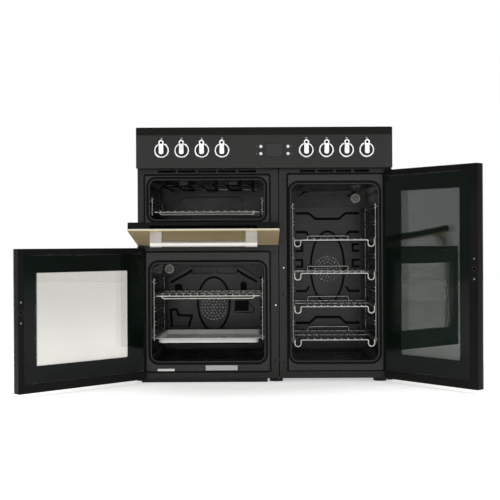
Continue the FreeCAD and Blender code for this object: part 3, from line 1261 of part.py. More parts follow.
# ---- all nodes --------------------------------------------------------------------------------
def nodes():
    parts = {
        "side_panels": side_panels(),
        "back_panel": back_panel(),
        "base_tray": base_tray(),
        "plinth": plinth(),
        "levelling_feet": levelling_feet(),
        "left_front_frame": left_front_frame(),
        "right_front_frame": right_front_frame(),
        "hob_frame": hob_frame(),
        "hob_glass": hob_glass(),
        "radiant_heaters": radiant_heaters(),
        "control_fascia": control_fascia(),
        "knob_bezels": knob_bezels(),
        "rotary_switches": rotary_switches(),
        "clock_display": clock_display(),
        "grill_cavity": grill_cavity(),
        "main_cavity": main_cavity(),
        "tall_cavity": tall_cavity(),
        "door_seals": door_seals(),
        "cavity_insulation": cavity_insulation(),
        "side_racks": all_side_racks(),
        "fan_covers": Part.makeCompound([main_fan_cover(), tall_fan_cover()]),
        "heating_elements": heating_elements(),
        "oven_lamps": oven_lamps(),
        "fan_motors": fan_motors(),
        "hinge_brackets": hinge_brackets(),
        "door_catches": door_catches(),
        "mains_terminal": mains_terminal(),
        "main_fan": fan_wheel(MAIN_FAN),
        "tall_fan": fan_wheel(TALL_FAN),
        "grill_shelf": flat_shelf(GRILL, GRILL_RUNGS, 0),
        "main_shelf": flat_shelf(MAIN, MAIN_RUNGS, MAIN_SHELF_LEVEL),
        "main_tray": oven_tray(),
    }
    shelf = hooked_shelf(TALL, TALL_RUNGS, 0)
    rungs = rung_levels(TALL, TALL_RUNGS)
    for i, level in enumerate(TALL_SHELF_LEVELS, 1):
        parts[f"tall_shelf_{i}"] = shelf.translated(V(0, 0, rungs[level] - rungs[0]))
    for i, x in enumerate(knob_places(), 1):
        parts[f"knob_{i}"] = knob(x)
    for i, (x, z) in enumerate(button_places(), 1):
        parts[f"clock_button_{i}"] = clock_button(x, z)
    doors = [("main_door", MAIN_DOOR, opened_main, door_frame(MAIN_DOOR, MAIN_CATCH, -1)),
             ("tall_door", TALL_DOOR, opened_tall, door_frame(TALL_DOOR, TALL_CATCH, 1)),
             ("grill_door", GRILL_DOOR, opened_grill, grill_door_frame())]
    for name, door, opened, frame in doors:
        parts[f"{name}_frame"] = opened(frame)
        parts[f"{name}_glass"] = opened(door_glass(door))
        parts[f"{name}_pane"] = opened(inner_pane(door))
        parts[f"{name}_handle"] = opened(door_handle(door))
    return parts


os.makedirs("parts", exist_ok=True)
for node, shape in nodes().items():
    shape.exportStep(f"parts/{node}.step")
    print(node, len(shape.Solids), shape.isValid(), round(shape.Volume / 1000, 1), "cm3")
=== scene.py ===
import math

import bmesh
import bpy
from mathutils import Matrix, Vector


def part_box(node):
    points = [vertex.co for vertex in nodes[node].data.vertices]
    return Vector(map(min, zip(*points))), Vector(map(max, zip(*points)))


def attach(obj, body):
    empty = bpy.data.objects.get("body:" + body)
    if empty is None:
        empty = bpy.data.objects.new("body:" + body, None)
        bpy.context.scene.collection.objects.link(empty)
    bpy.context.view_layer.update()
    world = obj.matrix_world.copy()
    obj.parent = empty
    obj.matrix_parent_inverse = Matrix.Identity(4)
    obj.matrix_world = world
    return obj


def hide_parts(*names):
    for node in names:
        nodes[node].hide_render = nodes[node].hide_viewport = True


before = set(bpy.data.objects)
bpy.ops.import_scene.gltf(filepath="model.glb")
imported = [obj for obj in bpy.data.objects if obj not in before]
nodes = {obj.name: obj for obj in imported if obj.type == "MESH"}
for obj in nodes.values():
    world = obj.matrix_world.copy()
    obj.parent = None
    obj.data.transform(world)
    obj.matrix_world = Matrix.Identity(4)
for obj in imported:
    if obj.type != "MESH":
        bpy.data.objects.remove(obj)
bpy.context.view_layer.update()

# ---- places, in metres ------------------------------------------------------------------------
MM = 0.001
FRONT = -0.280  # face of the front frames
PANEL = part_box("control_fascia")[0].y  # face of the control panel
CONTROL_LEVEL = 0.819  # height of the knobs' shafts and of the clock's middle
GLASS_FACE = FRONT - 33 * MM  # outer face of a closed door's glass
DOOR_INNER = FRONT - 5 * MM  # inner face of a closed door
SWING_Y = FRONT - 19 * MM  # line of the swing doors' hinge pins
GRILL_BACK = FRONT + 430 * MM  # inside of the grill space's back wall
COVER_FACE = FRONT + 400 * MM  # face of the fan covers
PRINT = 0.2 * MM  # thickness of enamel printed on glass
MARK = 0.15 * MM  # thickness of the panel's printed marks
SKIN = 0.02 * MM  # gap that keeps a thin layer off the face under it

# Each closed door's sides, and how far its window and its printed border stand in from them
# (left, right, bottom and top, in mm), then its hinge line and how many degrees it stands open.
DOORS = {
    "main_door": {"x": (-0.449, 0.0489), "z": (0.0146, 0.478),
                  "window": (75, 64, 86, 78), "border": (6, 21, 31, 22),
                  "pivot": (-0.440, SWING_Y, 0), "axis": "Z", "open": -136.2},
    "tall_door": {"x": (0.0519, 0.449), "z": (0.0146, 0.7491),
                  "window": (72, 74, 90, 76), "border": (34, 6, 31, 22),
                  "pivot": (0.440, SWING_Y, 0), "axis": "Z", "open": 131.6},
    "grill_door": {"x": (-0.449, 0.0489), "z": (0.4865, 0.7491),
                   "window": (70, 70, 70, 62), "border": (25, 25, 41, 22),
                   "pivot": (0, FRONT - 23 * MM, 0.4988), "axis": "X", "open": 79.4},
}
HIDDEN = 24 * MM  # how far the outer print keeps behind the inner one
# Where each swing door meets its catch.
LATCHES = {"main_door": (0.0385, 0.2744), "tall_door": (0.067, 0.4065)}
LATCH_SCREW_RISE = 33 * MM
LATCH_BUSH = (8.2 * MM, 5.4 * MM)  # outer and inner radius

# Openings of the front frames: left, right, bottom and top.
WINDOWS = {"grill_space": (-0.429, 0.0225, 0.556, 0.740), "main_oven": (-0.429, 0.0225, 0.034, 0.467),
           "tall_oven": (0.078, 0.426, 0.034, 0.742)}
# Width of the black rings laid as painted shade of the gap round the front frames' windows.
GAP_SHADE_WIDTH = 6.5 * MM
VENTS = [(-203.25, 5, 71.5, 63.0), (249.5, 4, 64.0, 54.0)]  # middle, count, pitch and length in mm
VENT_LEVEL = 0.7485

FANS = {"main": (-0.202, 0.2406), "tall": (0.2485, 0.392)}
HOLE_RINGS = 4
HOLE_PITCH = 12.0 * MM
HOLE_RADIUS = 3.0 * MM
OVEN_LAMPS = [(-0.378, 0.393), (0.362, 0.6696)]
LAMP_RADIUS = 17.5 * MM

KNOB_X = [side * (147.5 + 70.5 * k) * MM for side in (-1, 1) for k in range(4)]
KNOB_DISC = 5.85 * MM  # thickness of the knob's black disc
EYE_RISE = 25.5 * MM  # from the shaft up to the eye in the grip
EYE_HOLE = 3.75 * MM  # radius of the hollow in the grip
EYE_RADIUS = 4.9 * MM  # radius of the dark disc over it
CLOCK = (36 * MM, 30.2 * MM, 23.7 * MM)  # middle, half width and half height
CLOCK_PROUD = 0.6 * MM
BUTTON_ICONS = (-27.0, 96.0)  # where the icons by the clock's buttons stand along X, in mm

RING_LINE = 0.9 * MM  # half width of the rings printed on the hob
ZONES = [(-0.300, FRONT + 0.130, 0.090), (-0.300, FRONT + 0.400, 0.072), (0, FRONT + 0.262, 0.105),
         (0.300, FRONT + 0.130, 0.072), (0.300, FRONT + 0.400, 0.090), (0, FRONT + 0.262, 0.060)]

# Painted shade laid over the pressed lines of each fan cover: the egg (middle, widest level, half width,
# rise and fall, in metres), then the ribs' corners and the blocks' left, right, bottom and top, in mm.
LINE_HALF = 4.3 * MM
COVER_BEAD_SHADE = [
    ("main", (-0.202, 0.261, 0.063, 0.099, 0.112),
     [[(-372, 340), (-307, 374), (-289, 388)], [(-30, 340), (-91, 374), (-109, 388)],
      [(-368, 164), (-373, 232), (-349, 234), (-343, 211), (-290, 209), (-302, 164)],
      [(-370, 116), (-324, 102), (-78, 102), (-32, 116)]],
     [(-356, -326, 308, 332), (-119, -64, 226, 268), (-96, -72, 308, 338)]),
    ("tall", (0.2485, 0.397, 0.066, 0.142, 0.142),
     [[(123, 610), (176.5, 610), (202.5, 588), (294.5, 588), (320.5, 610), (374, 610)],
      [(123, 178), (176.5, 178), (202.5, 201), (294.5, 201), (320.5, 178), (374, 178)],
      [(123, 536), (164.5, 536), (176.5, 518)], [(374, 536), (332.5, 536), (320.5, 518)],
      [(123, 304), (164.5, 304), (176.5, 322)], [(374, 304), (332.5, 304), (320.5, 322)],
      [(123, 488), (148.5, 488), (148.5, 462), (123, 462)],
      [(374, 488), (348.5, 488), (348.5, 462), (374, 462)],
      [(123, 426), (148.5, 426), (148.5, 400), (123, 400)],
      [(374, 426), (348.5, 426), (348.5, 400), (374, 400)]],
     []),
]

# ---- camera and light -------------------------------------------------------------------------
CAMERA_DISTANCE = 3.4538  # in front of the front frames
CAMERA_HEIGHT = 0.4882
CAMERA_ROLL = math.radians(-0.27)
LENS = 70.07
SHIFT = (-0.0292, -0.0109)
LAMPS = [  # name, place, target, size and power
    ("key_lamp", (-2.3, -3.0, 2.3), (0, 0, 0.4), (2.0, 1.6), 34),
    ("fill_lamp", (2.4, -3.0, 2.1), (0, 0, 0.4), (2.0, 1.6), 30),
    ("front_lamp", (0.0, -4.3, 0.9), (0, 0.2, 0.42), (3.0, 1.8), 26),
    ("top_lamp", (0, 0.3, 2.8), (0, 0, 0), (2.4, 1.6), 30),
]
ROOM_LIGHT = 0.35
ROOM_SHINE = (-0.4, 0.1, 0.08, 0.75)  # directions along Y, and how bright gloss sees the room there
FLOOR_GLOW = 0.38  # how much the floor shines by itself near the cooker
FAR_GLOW = 0.71  # and far from it
FADE = (0.45, 1.0)  # distances from the middle between which the floor turns white
WHITE = (1, 1, 1, 1)


def aim(thing, target):
    direction = Vector(target) - thing.location
    thing.rotation_euler = direction.to_track_quat("-Z", "Y").to_euler()


def make_camera():
    data = bpy.data.cameras.new("camera")
    data.lens = LENS
    data.sensor_width = 36
    data.shift_x, data.shift_y = SHIFT
    camera = bpy.data.objects.new("camera", data)
    camera.location = (0, FRONT - CAMERA_DISTANCE, CAMERA_HEIGHT)
    level = Matrix.Rotation(math.radians(90), 4, "X")
    camera.rotation_euler = (level @ Matrix.Rotation(CAMERA_ROLL, 4, "Z")).to_euler()
    bpy.context.collection.objects.link(camera)
    bpy.context.scene.camera = camera


def make_lamps():
    for name, place, target, size, power in LAMPS:
        data = bpy.data.lights.new(name, "AREA")
        data.shape = "RECTANGLE"
        data.size, data.size_y = size
        data.energy = power
        lamp = bpy.data.objects.new(name, data)
        lamp.location = place
        bpy.context.collection.objects.link(lamp)
        aim(lamp, target)


# ---- nodes ------------------------------------------------------------------------------------
def node_in(tree, kind, links=None, **settings):
    """Adds a node, sets what is named and links sockets to the given inputs."""
    node = tree.nodes.new(kind)
    for key, value in settings.items():
        setattr(node, key, value)
    for key, value in (links or {}).items():
        if isinstance(value, bpy.types.NodeSocket):
            tree.links.new(value, node.inputs[key])
        else:
            node.inputs[key].default_value = value
    return node


def calc(tree, operation, first, second=None):
    """One step of arithmetic on one or two values."""
    links = {0: first} if second is None else {0: first, 1: second}
    return node_in(tree, "ShaderNodeMath", links, operation=operation).outputs[0]


def noise(tree, place, scale, detail, distortion=0.0):
    links = {"Vector": place, "Scale": scale, "Detail": detail, "Distortion": distortion}
    return node_in(tree, "ShaderNodeTexNoise", links).outputs[0]


def spread(tree, value, low, high, to_low=0.0, to_high=1.0):
    """Maps low to to_low and high to to_high, and holds the ends."""
    links = {"Value": value, "From Min": low, "From Max": high, "To Min": to_low, "To Max": to_high}
    return node_in(tree, "ShaderNodeMapRange", links).outputs[0]


def make_world():
    """White where the camera or glass looks at it, dimmer in front for gloss, grey as light."""
    world = bpy.data.worlds.new("studio")
    bpy.context.scene.world = world
    world.use_nodes = True
    tree = world.node_tree
    tree.nodes.clear()
    path = node_in(tree, "ShaderNodeLightPath").outputs
    place = node_in(tree, "ShaderNodeTexCoord").outputs["Generated"]
    depth = spread(tree, node_in(tree, "ShaderNodeSeparateXYZ", {0: place}).outputs["Y"], *ROOM_SHINE)
    seen = calc(tree, "MAXIMUM", path["Is Camera Ray"], path["Is Transmission Ray"])
    light = node_in(tree, "ShaderNodeBackground", {"Color": WHITE, "Strength": ROOM_LIGHT})
    shine = node_in(tree, "ShaderNodeBackground", {"Color": (0.8, 0.8, 0.8, 1), "Strength": depth})
    white = node_in(tree, "ShaderNodeBackground", {"Color": WHITE, "Strength": 1.0})
    dim = node_in(tree, "ShaderNodeMixShader", {0: path["Is Glossy Ray"], 1: light.outputs[0],
                                                2: shine.outputs[0]})
    mixed = node_in(tree, "ShaderNodeMixShader", {0: seen, 1: dim.outputs[0], 2: white.outputs[0]})
    node_in(tree, "ShaderNodeOutputWorld", {"Surface": mixed.outputs[0]})


# ---- node groups that several finishes share --------------------------------------------------
def new_group(name, inputs, outputs):
    """A shader group with a Vector, the named values and the named results."""
    tree = bpy.data.node_groups.new(name, "ShaderNodeTree")
    sockets = tree.interface
    sockets.new_socket(name="Vector", in_out="INPUT", socket_type="NodeSocketVector")
    for label, value in inputs.items():
        socket = sockets.new_socket(name=label, in_out="INPUT", socket_type="NodeSocketFloat")
        socket.default_value = value
    for label in outputs:
        sockets.new_socket(name=label, in_out="OUTPUT", socket_type="NodeSocketFloat")
    return tree, tree.nodes.new("NodeGroupInput").outputs, tree.nodes.new("NodeGroupOutput").inputs


def handling_group():
    """Smudges and fine dust: how a wiped surface's gloss varies."""
    tree, given, result = new_group("handling", {"Scale": 9.0}, ("Smudge", "Dust"))
    broad = noise(tree, given["Vector"], given["Scale"], 5.0, 0.6)
    fine = noise(tree, given["Vector"], calc(tree, "MULTIPLY", given["Scale"], 14.0), 3.0)
    tree.links.new(spread(tree, broad, 0.35, 0.7), result["Smudge"])
    tree.links.new(fine, result["Dust"])
    return tree


def speckle_group():
    """Small pale flecks, as in a mottled oven enamel, and the orange-peel height of its surface."""
    tree, given, result = new_group("enamel_speckle", {"Scale": 420.0, "Amount": 0.2}, ("Fleck", "Peel"))
    cells = node_in(tree, "ShaderNodeTexVoronoi", {"Vector": given["Vector"], "Scale": given["Scale"]})
    dot = calc(tree, "LESS_THAN", cells.outputs["Distance"], 0.26)
    chance = node_in(tree, "ShaderNodeSeparateColor", {0: cells.outputs["Color"]}).outputs[0]
    picked = calc(tree, "LESS_THAN", chance, given["Amount"])
    peel = noise(tree, given["Vector"], calc(tree, "MULTIPLY", given["Scale"], 0.6), 1.0)
    tree.links.new(calc(tree, "MULTIPLY", dot, picked), result["Fleck"])
    tree.links.new(peel, result["Peel"])
    return tree


def edge_group():
    """1 on a sharp edge and 0 on a flat face; Torn breaks it up by noise, as where paint is rubbed. Left
    whole, it places painted shade and painted highlights on enamel bends.
    """
    tree, given, result = new_group("edge_wear_and_painted_light", {"Width": 1.2 * MM, "Torn": 1.0}, ("Edge",))
    round_normal = node_in(tree, "ShaderNodeBevel", {"Radius": given["Width"]}, samples=4).outputs[0]
    flat = node_in(tree, "ShaderNodeNewGeometry").outputs["Normal"]
    match = node_in(tree, "ShaderNodeVectorMath", {0: round_normal, 1: flat}, operation="DOT_PRODUCT")
    edge = spread(tree, match.outputs["Value"], 0.995, 0.85)
    whole = calc(tree, "SUBTRACT", 1.0, given["Torn"])
    torn = spread(tree, noise(tree, given["Vector"], 70.0, 4.0), 0.4, 0.62, whole)
    tree.links.new(calc(tree, "MULTIPLY", edge, torn), result["Edge"])
    return tree


def brush_group():
    """Long fine scratches along X, as left by brushing or drawing."""
    tree, given, result = new_group("brush_lines", {"Fine": 900.0}, ("Line",))
    stretch = node_in(tree, "ShaderNodeVectorMath", {0: given["Vector"], 1: (0.012, 1.0, 1.0)},
                      operation="MULTIPLY")
    tree.links.new(noise(tree, stretch.outputs[0], given["Fine"], 3.0), result["Line"])
    return tree


HANDLING = handling_group()
SPECKLE = speckle_group()
EDGE_WEAR_AND_PAINTED_LIGHT = edge_group()
BRUSHED = brush_group()


class Finish:
    """A material being made: its Principled shader, Object coordinates and a way to add nodes."""

    def __init__(self, name, **sockets):
        self.material = bpy.data.materials.new(name)
        self.material.use_nodes = True
        self.tree = self.material.node_tree
        self.skin = self.tree.nodes["Principled BSDF"]
        self.place = self.add("ShaderNodeTexCoord").outputs["Object"]
        for label, value in sockets.items():
            self.skin.inputs[label.replace("_", " ")].default_value = value

    def add(self, kind, links=None, **settings):
        return node_in(self.tree, kind, links, **settings)

    def group(self, tree, **values):
        node = self.add("ShaderNodeGroup", node_tree=tree)
        self.tree.links.new(self.place, node.inputs["Vector"])
        for label, value in values.items():
            node.inputs[label].default_value = value
        return node.outputs

    def mix(self, factor, first, second):
        node = self.add("ShaderNodeMix", data_type="RGBA")
        for index, value in ((0, factor), (6, first), (7, second)):
            if isinstance(value, bpy.types.NodeSocket):
                self.tree.links.new(value, node.inputs[index])
            else:
                node.inputs[index].default_value = value
        return node.outputs[2]

    def colour(self, socket):
        self.tree.links.new(socket, self.skin.inputs["Base Color"])

    def roughness(self, mask, low, high):
        self.tree.links.new(spread(self.tree, mask, 0.0, 1.0, low, high), self.skin.inputs["Roughness"])

    def bump(self, height, depth, strength=1.0):
        node = self.add("ShaderNodeBump", {"Height": height, "Distance": depth, "Strength": strength})
        self.tree.links.new(node.outputs[0], self.skin.inputs["Normal"])


def shade(level):
    """A display grey or colour, 0 to 255, as linear light."""
    values = level if isinstance(level, tuple) else (level, level, level)
    linear = []
    for value in values:
        v = value / 255
        linear.append(v / 12.92 if v <= 0.04045 else ((v + 0.055) / 1.055) ** 2.4)
    return (*linear, 1.0)


# ---- finishes ---------------------------------------------------------------------------------
def enamel(name, dark, light, fleck, amount, rough, edge=None, painted_wall_shade=None, bend=2.2 * MM):
    """Mottled enamel; the colour given for the bends is painted shade there when darker than the body
    and a painted highlight when lighter, and the colour given for walls is painted shade on what doesn't
    face the front.
    """
    f = Finish(name, Specular_IOR_Level=0.26)
    wiped = f.group(HANDLING, Scale=7.0)
    speck = f.group(SPECKLE, Amount=amount)
    body = f.mix(speck["Fleck"], f.mix(wiped["Smudge"], shade(dark), shade(light)), shade(fleck))
    # Painted shade along the bends when the colour is darker, a painted highlight when it is lighter.
    if edge:
        body = f.mix(f.group(EDGE_WEAR_AND_PAINTED_LIGHT, Torn=0.0, Width=bend)["Edge"], body, shade(edge))
    # Painted shade on faces turned away from the front.
    if painted_wall_shade:
        facing = f.add("ShaderNodeSeparateXYZ", {0: f.add("ShaderNodeNewGeometry").outputs["Normal"]})
        straight = calc(f.tree, "ABSOLUTE", facing.outputs["Y"])
        body = f.mix(spread(f.tree, straight, 0.9, 0.985), shade(painted_wall_shade), body)
    f.colour(body)
    f.roughness(wiped["Smudge"], rough - 0.06, rough + 0.08)
    f.bump(speck["Peel"], 0.25 * MM, 0.25)
    return f.material


def painted(name, colour, worn, rough, fine=240.0):
    """Satin paint with a fine grain, worn on its edges."""
    f = Finish(name, Specular_IOR_Level=0.1)
    wiped = f.group(HANDLING, Scale=5.0)
    edge = f.group(EDGE_WEAR_AND_PAINTED_LIGHT)
    lighter = tuple(min(255, c + 7) for c in colour)
    f.colour(f.mix(edge["Edge"], f.mix(wiped["Smudge"], shade(colour), shade(lighter)), shade(worn)))
    f.roughness(wiped["Smudge"], rough - 0.05, rough + 0.1)
    f.bump(noise(f.tree, f.place, fine, 2.0), 0.2 * MM, 0.3)
    return f.material


def metal(name, colour, rough, lines=0.15, fine=900.0):
    """Drawn or brushed metal; lines is how deep its scratches look."""
    f = Finish(name, Metallic=1.0)
    brushed = f.group(BRUSHED, Fine=fine)
    wiped = f.group(HANDLING, Scale=12.0)
    low = tuple(int(c * 0.9) for c in colour)
    f.colour(f.mix(brushed["Line"], shade(low), shade(colour)))
    f.roughness(wiped["Smudge"], rough, rough + 0.12)
    f.bump(brushed["Line"], 0.05 * MM, lines)
    return f.material


def chrome(name, colour, rough):
    f = Finish(name, Metallic=1.0)
    wiped = f.group(HANDLING, Scale=30.0)
    dull = tuple(int(c * 0.86) for c in colour)
    f.colour(f.mix(wiped["Smudge"], shade(colour), shade(dull)))
    f.roughness(wiped["Dust"], rough, rough + 0.1)
    f.bump(wiped["Dust"], 0.02 * MM, 0.2)
    return f.material


def moulded(name, colour, rough):
    f = Finish(name, Specular_IOR_Level=0.25)
    wiped = f.group(HANDLING, Scale=20.0)
    grain = f.add("ShaderNodeTexVoronoi", {"Vector": f.place, "Scale": 900.0})
    f.colour(f.mix(wiped["Smudge"], shade(colour), shade(tuple(min(255, c + 8) for c in colour))))
    f.roughness(wiped["Smudge"], rough, rough + 0.12)
    f.bump(grain.outputs["Distance"], 0.05 * MM, 0.3)
    return f.material


def clear_glass(name, tint):
    f = Finish(name, Transmission_Weight=1.0, IOR=1.5)
    wiped = f.group(HANDLING, Scale=6.0)
    f.colour(f.mix(wiped["Smudge"], shade(tint), shade(tuple(max(0, c - 3) for c in tint))))
    f.roughness(wiped["Smudge"], 0.0, 0.02)
    return f.material


def smooth_layer(name, colour, specular):
    """An even dark layer: print on glass, the clock's lens, or painted shade over a line pressed in
    enamel.
    """
    f = Finish(name, Specular_IOR_Level=specular)
    wiped = f.group(HANDLING, Scale=6.0)
    f.colour(f.mix(wiped["Smudge"], shade(colour), shade(tuple(c + 3 for c in colour))))
    f.roughness(wiped["Smudge"], 0.04, 0.12)
    return f.material


def bronze_painted_reflection(name="bronze_painted_reflection", rim=None):
    """The doors' outer glass layer: a bronze tint lifted to beige, painted reflection and painted light
    from the pale floor below; rim is where its cut edge starts.
    """
    f = Finish(name, Metallic=0.0, Coat_Weight=0.1, Coat_Roughness=0.1)
    wiped = f.group(HANDLING, Scale=4.0)
    body = f.mix(wiped["Smudge"], shade((206, 184, 140)), shade((213, 191, 148)))
    if rim is not None:
        along = f.add("ShaderNodeSeparateXYZ", {0: f.place})
        body = f.mix(calc(f.tree, "LESS_THAN", along.outputs["Y"], rim), body, shade((222, 212, 188)))
    f.colour(body)
    f.roughness(wiped["Smudge"], 0.32, 0.42)
    return f.material


def ceramic_hob():
    """Black ceramic glass: thin printed rings round the zones and a field of faint dots."""
    f = Finish("ceramic_hob", Coat_Weight=1.0, Coat_Roughness=0.02)
    wiped = f.group(HANDLING, Scale=5.0)
    flat = f.add("ShaderNodeVectorMath", {0: f.place, 1: (1.0, 1.0, 0.0)}, operation="MULTIPLY")
    marks = None
    for x, y, radius in ZONES:
        reach = f.add("ShaderNodeVectorMath", {0: flat.outputs[0], 1: (x, y, 0.0)}, operation="DISTANCE")
        off = calc(f.tree, "ABSOLUTE", calc(f.tree, "SUBTRACT", reach.outputs["Value"], radius))
        ring = calc(f.tree, "LESS_THAN", off, RING_LINE)
        marks = ring if marks is None else calc(f.tree, "MAXIMUM", marks, ring)
    dots = f.add("ShaderNodeTexVoronoi", {"Vector": flat.outputs[0], "Scale": 160.0, "Randomness": 0.0})
    ground = f.mix(calc(f.tree, "LESS_THAN", dots.outputs["Distance"], 0.16), shade(14), shade(26))
    f.colour(f.mix(marks, ground, shade(150)))
    f.roughness(wiped["Smudge"], 0.05, 0.14)
    return f.material


def fascia_enamel():
    """The control panel's enamel, a little paler on its two end bands."""
    f = Finish("fascia_enamel", Specular_IOR_Level=0.25, Coat_Weight=0.05, Coat_Roughness=0.2)
    wiped = f.group(HANDLING, Scale=4.0)
    speck = f.group(SPECKLE, Amount=0.1, Scale=700.0)
    across = f.add("ShaderNodeSeparateXYZ", {0: f.place})
    ends_at = spread(f.tree, calc(f.tree, "ABSOLUTE", across.outputs["X"]), 0.4235, 0.4255)
    body = f.mix(wiped["Smudge"], shade((30, 30, 28)), shade((35, 35, 33)))
    ends = f.mix(wiped["Smudge"], shade((33, 33, 30)), shade((38, 38, 35)))
    f.colour(f.mix(speck["Fleck"], f.mix(ends_at, body, ends), shade(66)))
    f.roughness(wiped["Smudge"], 0.34, 0.44)
    f.bump(speck["Peel"], 0.2 * MM, 0.25)
    return f.material


def rope():
    """Woven glass-fibre rope: a fine diagonal weave."""
    f = Finish("seal_rope", Specular_IOR_Level=0.1)
    strands = f.add("ShaderNodeTexWave", {"Vector": f.place, "Scale": 420.0, "Distortion": 1.0},
                    bands_direction="DIAGONAL")
    weave = calc(f.tree, "MULTIPLY", strands.outputs["Fac"], noise(f.tree, f.place, 700.0, 2.0))
    f.colour(f.mix(weave, shade(10), shade(30)))
    f.roughness(weave, 0.7, 0.9)
    f.bump(weave, 0.4 * MM, 0.6)
    return f.material


def wool():
    f = Finish("mineral_wool")
    fibre = noise(f.tree, f.place, 130.0, 8.0, 2.0)
    f.colour(f.mix(fibre, shade((150, 138, 104)), shade((205, 194, 160))))
    f.roughness(fibre, 0.85, 1.0)
    f.bump(fibre, 1.5 * MM, 0.8)
    return f.material


def lamp_lens():
    """The oven lamps' ribbed glass, unlit."""
    f = Finish("lamp_lens", Transmission_Weight=0.15, IOR=1.45)
    ribs = f.add("ShaderNodeTexVoronoi", {"Vector": f.place, "Scale": 260.0})
    f.colour(f.mix(ribs.outputs["Distance"], shade((150, 156, 144)), shade((206, 212, 200))))
    f.roughness(ribs.outputs["Distance"], 0.08, 0.25)
    f.bump(ribs.outputs["Distance"], 0.6 * MM, 0.5)
    return f.material


FRONT_ENAMEL = enamel("front_enamel", (21, 21, 19), (26, 26, 24), (50, 50, 46), 0.14, 0.3)
# The oven and fan cover enamels carry painted shade on their bends and on what doesn't face the front;
# the tray's enamel carries a painted highlight on its bends.
OVEN_ENAMEL = enamel("oven_enamel", (36, 36, 34), (43, 43, 41), (88, 88, 84), 0.2, 0.26,
                     edge=(14, 14, 13), painted_wall_shade=(21, 21, 20))
COVER_ENAMEL = enamel("fan_cover_enamel", (33, 33, 32), (40, 40, 38), (84, 84, 80), 0.2, 0.24,
                      edge=(8, 8, 8), painted_wall_shade=(5, 5, 5), bend=4.5 * MM)
TRAY_ENAMEL = enamel("tray_enamel", (222, 222, 219), (232, 232, 230), (240, 240, 238), 0.12, 0.28,
                     edge=(244, 244, 242))
PANEL_ENAMEL = fascia_enamel()
HOB_STEEL = painted("hob_steel", (17, 17, 15), (52, 52, 50), 0.36)
SKIN_PAINT = painted("skin_paint", (34, 34, 34), (84, 84, 82), 0.42)
DOOR_PAINT = painted("door_paint", (13, 13, 12), (32, 32, 31), 0.42)
ZINC = metal("zinc_sheet", (165, 167, 168), 0.38, 0.3, 120.0)
FAN_STEEL = metal("fan_steel", (150, 148, 144), 0.3)
CHROME = chrome("knob_chrome", (226, 227, 228), 0.07)
WIRE_CHROME = chrome("wire_chrome", (212, 212, 207), 0.26)
RACK_STEEL = chrome("rack_steel", (165, 165, 160), 0.3)
BAR_ALUMINIUM = metal("bar_aluminium", (222, 217, 211), 0.34, 0.25)
ELEMENT_STEEL = metal("element_steel", (74, 70, 66), 0.5, 0.2)
KNOB_BLACK = moulded("knob_black", (20, 20, 21), 0.22)
BLACK_PLASTIC = moulded("black_plastic", (34, 34, 35), 0.5)
SILVER_PLASTIC = moulded("silver_plastic", (236, 237, 238), 0.3)
CLOCK_LENS = smooth_layer("clock_lens", (29, 29, 29), 0.3)
SEAL_ROPE = rope()
WOOL = wool()
LAMP_LENS = lamp_lens()
HOB_GLASS = ceramic_hob()
PANE_GLASS = clear_glass("inner_pane_glass", (247, 250, 247))
CLEAR_GLASS = clear_glass("outer_clear_glass", (207, 202, 198))
DARK_GLASS = clear_glass("outer_dark_glass", (22, 30, 25))
BORDER_PRINT = smooth_layer("border_print", (8, 17, 12), 0.14)
# The bronze layers carry a painted reflection of the pale floor in their beige colour.
BRONZE = bronze_painted_reflection()
GRILL_BRONZE = bronze_painted_reflection("grill_bronze_glass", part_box("grill_door_glass")[0].y + 1.5 * MM)
# Near-black sheets laid as painted shade over the fan covers' pressed beads.
PAINTED_BEAD_SHADE = smooth_layer("painted_bead_shade", (5, 5, 5), 0.02)
PLATE_WHITE = painted("label_white", (226, 226, 224), (240, 240, 238), 0.5, 60.0)
PLATE_GREY = painted("label_grey", (186, 187, 188), (205, 205, 205), 0.4, 60.0)
PANEL_PRINT = moulded("panel_print", (214, 215, 216), 0.5)
FAINT_PRINT = moulded("faint_print", (104, 104, 103), 0.5)
EYE_BLACK = moulded("eye_black", (6, 6, 6), 0.5)

NODES_BY_FINISH = [
    (SKIN_PAINT, "side_panels plinth"),
    (ZINC, "back_panel base_tray fan_motors"),
    (BLACK_PLASTIC, "levelling_feet rotary_switches mains_terminal"),
    (FRONT_ENAMEL, "left_front_frame right_front_frame"),
    (HOB_STEEL, "hob_frame"),
    (HOB_GLASS, "hob_glass"),
    (WOOL, "radiant_heaters cavity_insulation"),
    (PANEL_ENAMEL, "control_fascia"),
    (CHROME, "knob_bezels"),
    (CLOCK_LENS, "clock_display"),
    (OVEN_ENAMEL, "grill_cavity main_cavity tall_cavity"),
    (SEAL_ROPE, "door_seals"),
    (RACK_STEEL, "side_racks"),
    (COVER_ENAMEL, "fan_covers"),
    (ELEMENT_STEEL, "heating_elements"),
    (LAMP_LENS, "oven_lamps"),
    (DOOR_PAINT, "hinge_brackets door_catches main_door_frame tall_door_frame grill_door_frame"),
    (FAN_STEEL, "main_fan tall_fan"),
    (WIRE_CHROME, "grill_shelf main_shelf tall_shelf_1 tall_shelf_2 tall_shelf_3 tall_shelf_4"),
    (TRAY_ENAMEL, "main_tray"),
    (SILVER_PLASTIC, "clock_button_1 clock_button_2 clock_button_3 clock_button_4"),
    (PANE_GLASS, "main_door_pane tall_door_pane grill_door_pane"),
    (BAR_ALUMINIUM, "main_door_handle tall_door_handle grill_door_handle"),
    (CLEAR_GLASS, "main_door_glass"),
    (DARK_GLASS, "tall_door_glass"),
    (GRILL_BRONZE, "grill_door_glass"),
]


def finish_cad_nodes():
    for finish, names in NODES_BY_FINISH:
        for name in names.split():
            materials = nodes[name].data.materials
            materials.clear()
            materials.append(finish)


